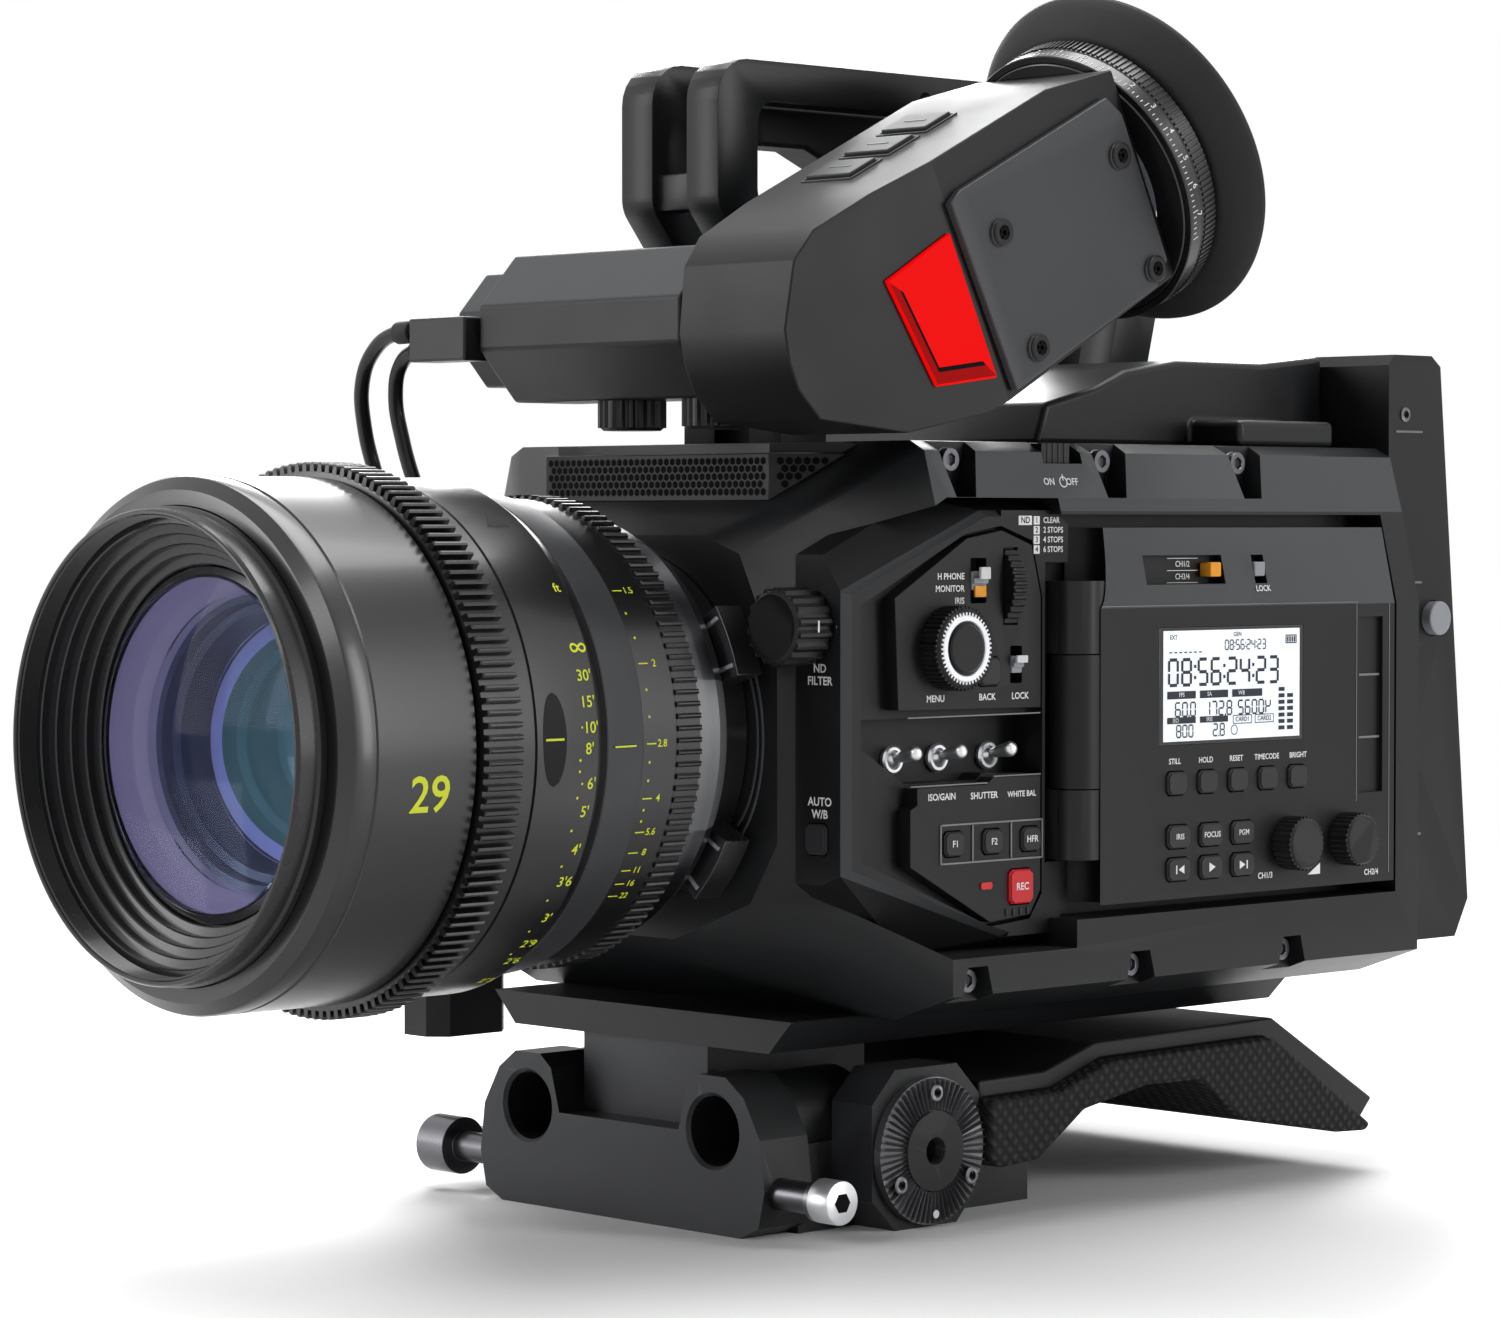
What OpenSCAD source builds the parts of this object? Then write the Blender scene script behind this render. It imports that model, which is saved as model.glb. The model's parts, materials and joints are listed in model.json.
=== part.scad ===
// Digital cinema camera with a cine prime lens, a tilting viewfinder, a top handle,
// a fold-out monitor door and a shoulder base. All sizes are in millimetres.
// The origin is the mouth of the tripod socket in the underside of the base.
// The lens looks along -Y, +X is the operator's side and +Z is up.

/* [Optics] */
// Height of the optical axis above the underside of the base
axis_h = 107; // [104:0.5:112]
// Distance from the lens flange back to the tripod socket
socket_y = 32; // [28:1:40]
// Length of the lens from its front ring to the flange
lens_l = 121; // [116:1:130]
// Diameter of the fixed front barrel
barrel_d = 108; // [106:1:110]
// Outer diameter of the iris gear
iris_gear_d = 101; // [99:1:104]
// Diameter of the lens tail inside the mount
tail_d = 54; // [50:1:56]
// Length of the lens tail behind the flange
tail_l = 14; // [10:1:18]
// Outer diameter of the breech ring
breech_d = 78; // [76:1:82]

/* [Body] */
// Width of the body
body_w = 150; // [144:1:156]
// Height of the flat top above the optical axis
cap_h = 62; // [60:0.5:66]
// Depth of the body's bottom below the optical axis
sole_h = 61; // [59:0.5:62]
// Distance from the flange back to the nose's face
nose_y = 6; // [5:0.5:8]
// Distance over which the nose flares out to the full section
flare_l = 25; // [22:1:28]
// Distance from the axis out to the control module's rim
module_x = 67; // [66:0.5:70]
// Thickness of the monitor door
door_t = 12; // [10:0.5:12]
// Length of the monitor door
door_l = 103; // [96:1:104]
// Height of the raised rear deck above the flat top
deck_h = 22; // [18:1:26]
// Half width of the battery plate
battery_half_w = 66; // [60:1:72]

/* [Viewfinder] */
// Tilt of the viewfinder at rest
vf_tilt = 26; // [20:1:32]
// Height of the tilt axis above the optical axis
vf_axis_h = 87; // [85:0.5:92]
// Distance of the viewfinder's inner face from the optical axis
vf_x = 41.6; // [40:0.2:46]
// Width of the viewfinder
vf_w = 39.4; // [36:0.2:44]
// Diameter of the eyecup
eyecup_d = 77; // [70:1:80]
// Diameter of the diopter ring
diopter_d = 62; // [58:1:64]

/* [Handle] */
// Height of the handle's top above the optical axis
handle_h = 145.5; // [136:0.5:152]
// Width over both side plates of the handle
handle_w = 31; // [28:1:36]
// Thickness of one side plate
handle_t = 10; // [8:0.5:11]

/* [Base] */
// Spacing of the two support rods
rod_pitch = 60; // [58:1:62]
// Depth of the rods below the optical axis
rod_drop = 85; // [84:0.5:86]
// Radius of the rod bores
rod_r = 7.55; // [7.5:0.05:7.6]
// Diameter of the rosette
rosette_d = 31.8; // [30:0.2:34]
// Width of the shoulder pad
pad_w = 116; // [100:1:124]

/* [Hidden] */
$fn = 72;

// Clearances that several pieces share
cut = 1;
run_fit = 0.05;
slip = 0.25;
seat = 0.3;
// Depth of a thin slice that a loft starts or ends with
slice = 0.2;
// Sides of a small round piece, which stays a true circle above 12
small_fn = 32;

// Widths of the lens that follow its barrel
front_ring_d = barrel_d * 95 / 108;
focus_gear_d = barrel_d * 19 / 18;

// Stations along the lens, ahead of the flange
barrel_face_s = lens_l * 1143 / 1210;
barrel_full_s = lens_l * 112 / 121;
barrel_groove_s = lens_l * 107 / 121;
barrel_back_s = 81.4;
barrel_groove_w = 0.8;
barrel_groove_t = 0.4;
ring_back_s = lens_l * 104 / 121;
ring_step_s = lens_l * 116 / 121;
ring_flare = 0.5;
ring_thread_t = 1.2;
baffle_steps = 5;
baffle_step_s = 2.3;
baffle_step_r = 2;
glass_r = front_ring_d * 34 / 95;
glass_rim_t = 4;
glass_ball_r = front_ring_d * 80 / 95;
core_front_s = 100;
core_neck_r = barrel_d * 44 / 108;
focus_journal_r = barrel_d * 46.5 / 108;
focus_gear_front_s = 81;
focus_gear_w = 9;
focus_gear_teeth = 142;
focus_tooth_h = 1.9;
focus_sleeve_r = barrel_d / 2;
focus_groove_s = 66.5;
focus_back_s = 46;
focus_taper_s = 50;
focus_back_r = barrel_d * 52 / 108;
focus_lip_r = 0.4;
collar_front_s = 45.6;
collar_back_s = 34.6;
collar_front_r = barrel_d * 51.8 / 108;
collar_back_r = barrel_d * 50.6 / 108;
iris_journal_r = 44.5;
iris_front_s = 34.2;
iris_gear_s = 24.4;
iris_back_s = 17.8;
iris_sleeve_r = 49.6;
iris_gear_teeth = 126;
iris_tooth_h = 1.6;
core_step_s = 17.4;
core_tail_r = 30.5;
flange_t = 2;
flange_r = 34;
core_bore_r = 30;
core_bore_s = 60;
core_rear_bore_r = 22;

// Mount on the body's nose and the breech ring that turns on it
mount_r = 36;
breech_front = 5;
breech_back = 5.6;
breech_lip_r = 31;
breech_lip_y = 2.3;
wing_r = 48;
wing_t = 7;
wing_span = 19;
wing_angles = [25, 155, 217, -37];
wing_front = 4;

// Outlines of the body seen from the front, as shares of half the width and of the top's height
full_shares = [[0.83, 1], [0.885, 0.965], [0.933, 0.76], [1, 0.42], [1, -0.887], [0.77, -0.984]];
nose_shares = [[0.333, 0.677], [0.483, 0.613], [0.636, 0.242], [0.637, -0.37], [0.528, -0.58],
    [0.343, -0.66], [0.213, -0.726]];
full_y = nose_y + flare_l;
half_w = body_w / 2;
throat_r = tail_d / 2 + 0.6;
throat_l = 44;
cap_front_y = 17;
cap_front_x = 34;
cap_rear_x = 48;
cap_low = 14;
cap_top = 0.5;
grille_t = 2;
grille_h = 9.5;
grille_top = 2.5;
belly_top_x = 48;
belly_low_x = 41;
belly_h = 7;
belly_y = 10;
belly_l = 165;

// Control module on the operator's side, with its outline as shares of its length and height
module_y = 7.2;
module_l = 62.5;
module_h = 48;
module_in_x = 52;
module_base_x = 60;
module_trim = 1.7;
module_base_shares = [[0, 0.79], [0.445, 1.04], [1, 1.04], [1, -0.98], [0.381, -0.98], [0, -0.645]];
module_rim_shares = [[0, 0.635], [0.669, 0.985], [1, 0.985], [1, -0.927], [0.781, -0.927], [0, -0.6]];
module_trim_shares = [[0.027, 0.615], [0.675, 0.955], [0.973, 0.955], [0.973, -0.9], [0.787, -0.9],
    [0.027, -0.575]];
legend_shares = [[0.749, 0.985], [1.013, 0.985], [1.09, 0.92], [1.09, 0.75], [0.749, 0.75]];
foot_shares = [[0.98, -0.6], [1.09, -0.6], [1.09, -0.79], [1.005, -0.92], [0.781, -0.92]];
pocket_shares = [[0.069, 0.57], [0.573, 0.88], [0.749, 0.915], [0.906, 0.85], [0.958, 0.6],
    [0.958, -0.74], [0.896, -0.85], [0.7, -0.87], [0.069, -0.54]];
pocket_d = 3.4;
toggle_shares = [[0.115, 0.07], [0.96, 0.07], [0.96, -0.2], [0.712, -0.19], [0.678, -0.22], [0.333, -0.22],
    [0.115, -0.05]];
toggle_d = 9;

// Panels of the control module
panel_proud = 0.4;
panel_x = module_x + panel_proud;
bay_floor_x = body_w / 2 - door_t - 0.7;
hollow_half_w = 45;
hollow_h = 88;
hollow_wall = 8;
panel_t = 3.8;
menu_plate_shares = [[0.224, 0.6], [0.574, 0.86], [0.747, 0.895], [0.896, 0.83], [0.944, 0.6], [0.944, 0.1],
    [0.241, 0.11]];
key_plate_shares = [[0.333, -0.235], [0.672, -0.235], [0.707, -0.205], [0.944, -0.205], [0.944, -0.72],
    [0.89, -0.83], [0.69, -0.85], [0.299, -0.58], [0.299, -0.33], [0.333, -0.31]];

// Controls on the module: places behind the flange and above the axis
menu_y = 37.4;
menu_z = 18.1;
menu_r = 9;
menu_cap_r = 6;
menu_h = 5.2;
menu_stem_r = 3;
menu_teeth = 48;
menu_tooth_h = 0.5;
menu_dish = 0.8;
back_y = 49.6;
back_z = 12.9;
key_w = 6.6;
key_h = 6;
key_chamfer = 0.9;
key_proud = 0.9;
key_depth = 2.2;
well_depth = 3.2;
lock_y = 58.4;
lock_z = 14.2;
switch_w = 3.2;
switch_h = 3.6;
switch_slot_h = 8;
selector_y = 46.6;
selector_z = 32.3;
selector_w = 4.4;
selector_h = 4;
selector_slot_h = 9.6;
wheel_y = 56.6;
wheel_z = 31;
wheel_r = 11;
wheel_w = 4;
wheel_slot_h = 17;
wheel_proud = 3.4;
wheel_axle_r = 1.2;
wheel_axle_l = 1.5;
wheel_teeth = 44;
wheel_tooth_h = 0.5;
fkey_z = -23.5;
fkey_y = 38.7;
fkey_pitch = 12;
fkey_w = 5.8;
fkey_h = 5.2;
rec_y = 59.6;
rec_z = -33.6;
rec_w = 7.2;
rec_h = 7.4;
toggle_z = -5.6;
toggle_places_shares = [0.352, 0.573, 0.822];
toggle_rise = 12;
toggle_ball_r = 2.2;
toggle_nut_r = 2.9;
toggle_nut_t = 2;
toggle_l = 7.5;
toggle_neck_r = 1;
toggle_tip_r = 1.7;
toggle_arc = 6;
nd_x = 55.5;
nd_z = 23;
nd_r = 8.2;
nd_face_r = 7.5;
nd_l = 9.8;
nd_front = -3.2;
nd_grip_count = 18;
nd_stem_r = 3;
nd_stem_l = 5;
awb_x = 58.6;
awb_z = -21.4;
awb_w = 6;
awb_h = 6.4;

// Screw notches in the top strip and the skirt, and the power switch
notch_w = 13;
notch_low_w = 6;
notch_low_x = 70;
notch_top_x = 62.5;
notch_h = 12;
notch_top_places = [41, 89, 135];
notch_low_places = [38.6, 90.5, 142.2];
screw_r = 2.5;
screw_t = 2.2;
screw_hex_r = 1.4;
screw_hex_t = 1;
low_screw_z = -52.2;
power_y = 72;
power_w = 9;
power_travel = 3;
power_h = 4.6;
power_in_x = 61.6;
power_t = 4.4;
power_ribs = 4;

// Monitor door in its bay
bay_front_y = module_y + module_l + 0.2;
bay_gap = 0.7;
door_x = body_w / 2;
door_y = 76;
door_back_l = 9;
shell_y = door_y + door_l + door_back_l;
door_low = -38.3;
door_top = 43.5;
door_fold = 26;
door_lean = 4;
bay_low = -41;
bay_top = 46.4;
window_w = 49.5;
window_h = 26;
window_y = 121;
window_z = 8.6;
window_t = 1.2;
window_rim = 1.2;
status_z = -12.8;
status_y = 101.8;
status_pitch = 10.4;
status_count = 5;
status_w = 6.2;
status_h = 5;
transport_y = 102.4;
transport_z = -24.6;
transport_pitch_y = 10.9;
transport_pitch_z = 7.2;
transport_w = 7.4;
transport_h = 5;
gain_end_l = 38;
gain_y = door_y + door_l - gain_end_l;
gain_pitch = 20.2;
gain_z = -27.8;
gain_r = 6.1;
gain_h = 5.4;
gain_teeth = 30;
gain_stem_r = 2;
gain_stem_l = 5;
gain_tooth_h = 0.4;
channel_y = 117.2;
slide_z = 34.2;
slide_w = 3.6;
slide_h = 3.2;
slide_t = 3.4;
band_x = 70;
slider_window_y = 93.5;
slider_window_l = 26.5;
door_lock_y = 132.4;
pull_end_l = 13;
pull_y = door_y + door_l - pull_end_l;
pull_w = 8.6;
pull_low = -17.5;
pull_top = 23;
pull_d = 1.2;

// Hinge of the door: an upper and a lower knuckle with a pin in the body, and the knuckle of the door
hinge_x = 68.8;
hinge_y = 76.2;
hinge_r = 6;
hinge_pin_r = 2;
hinge_low = -28.4;
hinge_top = 32;
knuckle_low = -13;
knuckle_top = 16;

// Raised deck, battery plate
deck_half_w = 46;
deck_front_y = 88;
deck_shares = [[0, 0], [0.03, 0.42], [0.2, 0.6], [0.3, 0.78], [0.48, 0.9], [0.78, 0.9], [1, 1], [1, 0]];
deck_flat = 0.9;
port_y = 140;
port_l = 34;
port_w = 15;
port_h = 6;
battery_shares = [[0, -0.6], [0, 0.97], [0.06, 1], [0.52, 1], [0.63, 0.97], [1, -0.54], [0.84, -0.645],
    [0.26, -0.645]];
battery_d = 31;
battery_top = 84;
vent_count = 10;
vent_h = 1.6;
vent_pitch = 4.2;
vent_low = -22;
vent_l = 6;
vent_d = 2;
vlock_w = 52;
vlock_low_w = 34;
vlock_h = 78;
vlock_t = 3;
vlock_share = 0.82;
vlock_z_share = 0.2;
release_back_l = 17;
release_y = shell_y + release_back_l;
release_z = 22;
release_r = 4;
release_t = 2.4;

// Top handle, as shares of its length and of its height above the flat top
handle_y = 19.4;
handle_l = 147;
handle_shares = [[0, 0.5], [0, 0.93], [0.04, 1], [0.9, 1], [0.98, 0.86], [1, 0.5], [0.97, 0.3]];
handle_inner_shares = [[0.87, 0.32], [0.9, 0.5], [0.88, 0.8], [0.84, 0.905], [0.11, 0.905], [0.11, 0.62],
    [0.24, 0.34], [0.24, 0], [0.12, 0], [0.12, 0.28]];
handle_foot_y = [160, 146];
grip_shares = [[0.15, 0.9], [0.6, 0.9], [0.6, 0.8], [0.46, 0.74], [0.32, 0.74], [0.25, 0.79], [0.15, 0.79]];
handle_bar_shares = [[0.01, 0.5], [0.9, 0.45], [0.13, 0.1], [0.79, 0.92]];
handle_bar_l = 6;
handle_hole_r = 3.2;
handle_holes_y = [84, 104, 124];

// Viewfinder arm and rail across the camera
arm_y = -16;
arm_d = 34;
arm_h = 32;
arm_mid_z = 86.8;
arm_shares = [[0, 0.15], [0, -0.15], [0.3, -0.5], [0.82, -0.5], [0.97, -0.2], [0.97, 0.2], [0.7, 0.5],
    [0.3, 0.5]];
arm_x = -22.6;
rail_x = -34;
rail_share = 0.78;
rail_bar_y = 4;
rail_bar_h = 15;
rail_bar_l = 54;
pivot_y = 2;
pivot_r = 6;
pivot_l = 8;
slide_out = 12;
plug_x = -43;
plug_l = 19;
plug_d = 8;
plug_h = 9.6;
plug_y = -19;
plug_z = 84.6;
knob_y = 2;
knob_x = [7, 33.5];
knob_r = 7.4;
knob_h = 6.4;
knob_teeth = 20;
knob_tooth_h = 0.6;
knob_stem_r = 2.5;
knob_stem_l = 5;

// Viewfinder housing in its own tilted frame: y runs back from the pivot, z up from it
vf_side_shares = [[-0.222, -0.09], [-0.222, -0.02], [-0.205, 0.057], [-0.122, 0.193], [-0.045, 0.236],
    [0.13, 0.248], [0.76, 0.248], [1, 0.2], [1, -0.343], [0.32, -0.37], [0.25, -0.37],
    [0.023, -0.313], [-0.193, -0.177]];
vf_l = 88;
vf_plan_shares = [[0, -0.25], [0.78, -0.25], [1, 0.32], [1, 1], [0, 1]];
vf_plate_t = 2;
vf_plate_shares = [[0.318, 0.14], [0.36, 0.155], [0.93, 0.155], [0.965, 0.1], [0.965, -0.29],
    [0.9, -0.333], [0.335, -0.35]];
vf_axis_x = 60;
vf_axis_z = -9;
vf_screw_y = [38.9, 80];
vf_screw_z = [1, -25.3];
vf_screw_r = 2.6;
vf_screw_t = 0.8;
vf_top_share = 0.248;
eye_bore_l = 20;
eye_bore_r = 20;
tally_shares = [[0.09, 0.045], [0.3, 0.075], [0.3, -0.3], [0.13, -0.245]];
tally_low_x = 70;
tally_t = 1;
barrel_r = 29.5;
diopter_y = 85;
diopter_l = 12.5;
cup_y = 98;
cup_l = 7;
cup_neck_r = 27;
cup_bore_r = 22;
cup_wall = 2.6;
eye_glass_t = 4;
vf_key_y = [26, 38.5, 51];
vf_key_l = 8.6;
vf_key_w = 13;
vf_key_x = 57;
vf_key_t = 1.1;

// Side grip on the far side
grip_x = -100;
grip_w = 16;
grip_y = 23;
grip_l = 24;
grip_low = -76;
grip_top = 22;
grip_plate_r = 16;
grip_plate_y = 42;
grip_plate_z = 6;

// Base with its rod clamps, seen from the front and as shares of half its width and its depth
base_half_w = 46;
base_low = axis_h;
clamp_l = 14;
clamp_front_y = 4;
clamp_shares = [[0.84, -1], [0.96, -0.975], [1, -0.9], [0.97, -0.8], [0.86, -0.72], [0.74, -0.683],
    [0.56, -0.683], [0.48, -0.71], [0.42, -0.8]];
mouth_chamfer = 0.8;
tray_half_w = 42;
tray_l = 72;
tray_h = 19;
riser_half_w = 20;
riser_l = 48;
riser_y = 12;
rod_boss_r = 11.5;
bore_l = 36;
shaft_z = -97.2;
shaft_y = 9;
shaft_r = 3.4;
shaft_head_r = 4.6;
shaft_head_l = 7;
shaft_x = 64;
lever_x = -58;
lever_hub_r = 6.5;
lever_hub_l = 9;
lever_l = 24;
lever_w = 9;
lever_t = 5;
socket_r = 4.76;
socket_l = 9;
rosette_y = 44.6;
rosette_z = -90.4;
rosette_x = 57;
rosette_t = 3;
rosette_teeth = 60;
rosette_tooth_h = 1.1;
rosette_hub_r = 8.6;
rosette_bore_r = 3;
rosette_bore_l = 9;
rosette_tooth_w = 0.8;
rosette_block_l = 33;
rosette_block_h = 34.6;
rosette_block_in_x = 42;
rosette_block_chamfer = 7;

// Shoulder plate and pad, seen from the side, as shares of the plate's length and the base's depth
plate_y = 60;
plate_l = 138;
plate_shares = [[0, -0.72], [0.163, -0.716], [0.284, -0.668], [0.73, -0.66], [1, -0.865], [0.962, -0.915],
    [0.703, -0.7], [0.295, -0.705], [0.174, -0.755], [0, -0.757]];
pad_shares = [[0.008, -0.757], [0.174, -0.755], [0.295, -0.705], [0.703, -0.7], [0.962, -0.915],
    [0.951, -0.93], [0.873, -0.925], [0.614, -0.866], [0.51, -0.77], [0.383, -0.766], [0.229, -0.8],
    [0.12, -0.89], [0.03, -0.897], [0.008, -0.88]];
plate_half_w = 54;
plate_leg_l = 16;

// Route of the viewfinder's lead, from its plug down to the socket in the body's far shoulder
cable_r = 1.7;
cable_sides = 8;
cable_a = [[-43, -17, 86.6], [-50, -17, 86.4], [-58, -16.4, 83], [-64, -15, 76], [-67, -12, 66],
    [-67, -9, 56], [-65, -7, 47], [-62, -5, 40], [-59, -2, 35], [-57, 3, 33], [-57, 8, 33]];
cable_b = [[-43, -13.4, 82.6], [-48, -13.4, 82.4], [-53, -13, 79.6], [-56, -12, 73], [-56, -10, 63],
    [-54, -8, 53], [-51, -6, 44], [-49, -3, 38], [-48, 2, 36], [-48, 8, 36]];
gland_r = 3.2;
gland_l = 14;

// Points of an outline from its shares and two sizes
function scaled(shares, w, h) = [for (s = shares) [s[0] * w, s[1] * h]];
function shifted(points, a, b) = [for (p = points) [p[0] + a, p[1] + b]];
function both_sides(points) = concat(points, [for (i = [len(points) - 1:-1:0]) [-points[i][0], points[i][1]]]);
function chamfered(w, h, c) = [[-w / 2 + c, -h / 2], [w / 2 - c, -h / 2], [w / 2, -h / 2 + c],
    [w / 2, h / 2 - c], [w / 2 - c, h / 2], [-w / 2 + c, h / 2], [-w / 2, h / 2 - c], [-w / 2, -h / 2 + c]];
// Outline of a toothed ring: four points a tooth
function toothed(n, r, h) = [for (i = [0:n - 1], k = [0:3])
    let (a = 360 * (i + [0.05, 0.3, 0.55, 0.8][k]) / n, q = (k == 1 || k == 2) ? r : r - h) [q * cos(a), q * sin(a)]];
function module_points(shares) = shifted(scaled(shares, module_l, module_h), module_y, 0);

// Places shapes that are drawn about the flange's centre on the optical axis
module at_flange() {
    translate([0, -socket_y, axis_h]) children();
}

// Stands a shape drawn along +Z so that it runs towards the front of the camera
module forward() {
    rotate([90, 0, 0]) children();
}

// Extrudes an outline drawn in Y and Z along X
module slab_x(x, l) {
    translate([x, 0, 0]) rotate([90, 0, 90]) linear_extrude(l) children();
}

// Extrudes an outline drawn in X and Z along Y
module slab_y(y, l) {
    translate([0, y + l, 0]) rotate([90, 0, 0]) linear_extrude(l) children();
}

// A round bar along X
module bar_x(x, l, r) {
    translate([x, 0, 0]) rotate([0, 90, 0]) cylinder(h = l, r = r);
}

// A round bar along Y
module bar_y(y, l, r) {
    translate([0, y, 0]) rotate([-90, 0, 0]) cylinder(h = l, r = r);
}

// A key or pocket on the operator's side: a chamfered bar along X
module key_bar(x, l, y, z, w, h, c) {
    translate([0, y, z]) slab_x(x, l) polygon(chamfered(w, h, c));
}

// A key with a narrower crown, pressed along X
module key_cap(x, y, z, w, h) {
    key_bar(x - key_depth, key_depth + key_proud / 2, y, z, w, h, key_chamfer);
    key_bar(x, key_proud, y, z, w - key_proud / 2, h - key_proud / 2, key_chamfer);
}

// The barrel in front of the focus ring
module lens_front_barrel() {
    color("#1b1c1e") at_flange() forward() rotate_extrude() polygon([
        [core_neck_r, barrel_back_s], [barrel_d / 2, barrel_back_s],
        [barrel_d / 2, barrel_groove_s - barrel_groove_w],
        [barrel_d / 2 - barrel_groove_t, barrel_groove_s - barrel_groove_w / 2],
        [barrel_d / 2 - barrel_groove_t, barrel_groove_s + barrel_groove_w / 2],
        [barrel_d / 2, barrel_groove_s + barrel_groove_w], [barrel_d / 2, barrel_full_s],
        [front_ring_d / 2 + 7 * ring_flare, barrel_face_s], [front_ring_d / 2 + ring_flare, barrel_face_s],
        [front_ring_d / 2 + ring_flare, ring_back_s], [core_neck_r, ring_back_s]]);
}

// The stepped ring around the front glass
module filter_ring() {
    color("#26282b") at_flange() forward() rotate_extrude() polygon(concat(
        [[front_ring_d / 2 + ring_flare, ring_back_s], [front_ring_d / 2 + ring_flare, ring_step_s],
        [front_ring_d / 2, ring_step_s + ring_flare], [front_ring_d / 2, lens_l - ring_flare],
        [front_ring_d / 2 - ring_flare, lens_l], [front_ring_d / 2 - ring_thread_t, lens_l],
        [front_ring_d / 2 - ring_thread_t, ring_step_s]],
        [for (i = [0:baffle_steps - 1], k = [0:1])
            [front_ring_d / 2 - ring_thread_t - (i + 1) * baffle_step_r, ring_step_s - (i + k) * baffle_step_s]],
        [[glass_r + run_fit, ring_step_s - baffle_steps * baffle_step_s], [glass_r + run_fit, ring_back_s]]));
}

// The domed front glass
module front_element() {
    color("#5a4a78") at_flange() forward() intersection() {
        translate([0, 0, core_front_s]) cylinder(h = lens_l - core_front_s, r = glass_r);
        translate([0, 0, ring_back_s + glass_rim_t - sqrt(glass_ball_r * glass_ball_r - glass_r * glass_r)])
            sphere(r = glass_ball_r);
    }
}

// The inner tube that the rings turn on, with the index collar, the flange and the tail
module lens_core() {
    color("#202225") at_flange() forward() rotate_extrude() polygon([
        [core_bore_r, core_bore_s], [core_bore_r, core_front_s], [core_neck_r, core_front_s],
        [core_neck_r, barrel_back_s], [focus_journal_r, barrel_back_s], [focus_journal_r, collar_front_s],
        [collar_front_r, collar_front_s], [collar_back_r, collar_back_s], [iris_journal_r, collar_back_s],
        [iris_journal_r, core_step_s], [core_tail_r, core_step_s], [core_tail_r, flange_t],
        [flange_r, flange_t], [flange_r, 0], [tail_d / 2, 0], [tail_d / 2, -tail_l],
        [core_rear_bore_r, -tail_l], [core_rear_bore_r, core_bore_s]]);
}

// The focus ring: gear teeth in front, then the sleeve with the distance scale
module focus_ring() {
    gear_back_s = focus_gear_front_s - focus_gear_w;
    color("#1d1e20") at_flange() forward() {
        rotate_extrude() polygon([
            [focus_journal_r + run_fit, focus_back_s], [focus_back_r, focus_back_s],
            [focus_sleeve_r - focus_lip_r, focus_taper_s], [focus_sleeve_r, focus_groove_s - focus_lip_r],
            [focus_sleeve_r - focus_lip_r, focus_groove_s], [focus_sleeve_r, focus_groove_s + focus_lip_r],
            [focus_sleeve_r, gear_back_s], [focus_journal_r + run_fit, gear_back_s]]);
        translate([0, 0, gear_back_s]) linear_extrude(focus_gear_w) difference() {
            polygon(toothed(focus_gear_teeth, focus_gear_d / 2, focus_tooth_h));
            circle(r = focus_journal_r + run_fit);
        }
    }
}

// The iris ring: the scale sleeve in front and gear teeth behind
module iris_ring() {
    color("#1d1e20") at_flange() forward() {
        rotate_extrude() polygon([
            [iris_journal_r + run_fit, iris_gear_s], [iris_sleeve_r, iris_gear_s],
            [iris_sleeve_r, iris_front_s - focus_lip_r], [iris_sleeve_r - focus_lip_r, iris_front_s],
            [iris_journal_r + run_fit, iris_front_s]]);
        translate([0, 0, iris_back_s]) linear_extrude(iris_gear_s - iris_back_s) difference() {
            polygon(toothed(iris_gear_teeth, iris_gear_d / 2, iris_tooth_h));
            circle(r = iris_journal_r + run_fit);
        }
    }
}

// The steel seat for the lens on the body's nose
module mount_plate() {
    color("#b8bbbf") at_flange() difference() {
        bar_y(0, nose_y, mount_r);
        bar_y(-cut, nose_y + 2 * cut, tail_d / 2 + run_fit);
    }
}

// A wing on the breech ring, drawn about the lens axis
module wing(a) {
    rotate([0, -a, 0]) slab_y(-wing_front, wing_t) intersection() {
        difference() {
            circle(r = wing_r);
            circle(r = breech_d / 2 - ring_flare);
        }
        polygon([[0, 0], [wing_r * 2, -wing_r * 2 * tan(wing_span / 2)],
            [wing_r * 2, wing_r * 2 * tan(wing_span / 2)]]);
    }
}

// The ring with wings that locks the lens
module breech_ring() {
    color("#9fa3a8") at_flange() {
        forward() rotate_extrude() polygon([
            [mount_r + run_fit, -breech_back], [breech_d / 2, -breech_back], [breech_d / 2, breech_front - ring_flare],
            [breech_d / 2 - ring_flare, breech_front], [breech_lip_r, breech_front], [breech_lip_r, breech_lip_y],
            [mount_r + run_fit, breech_lip_y]]);
        for (a = wing_angles) wing(a);
    }
}

// The flared nose and the straight shell behind it
module shell_form() {
    hull() {
        slab_y(nose_y, slice) polygon(both_sides(scaled(nose_shares, half_w, cap_h)));
        slab_y(full_y, slice) polygon(both_sides(scaled(full_shares, half_w, cap_h)));
    }
    slab_y(full_y, shell_y - full_y) polygon(both_sides(scaled(full_shares, half_w, cap_h)));
}

// Plan of the cap that carries the microphone grille
module cap_plan(grow) {
    polygon(both_sides([[cap_front_x + grow, cap_front_y - grow], [cap_rear_x + grow, full_y],
        [cap_rear_x + grow, full_y + cap_low]]));
}

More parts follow.
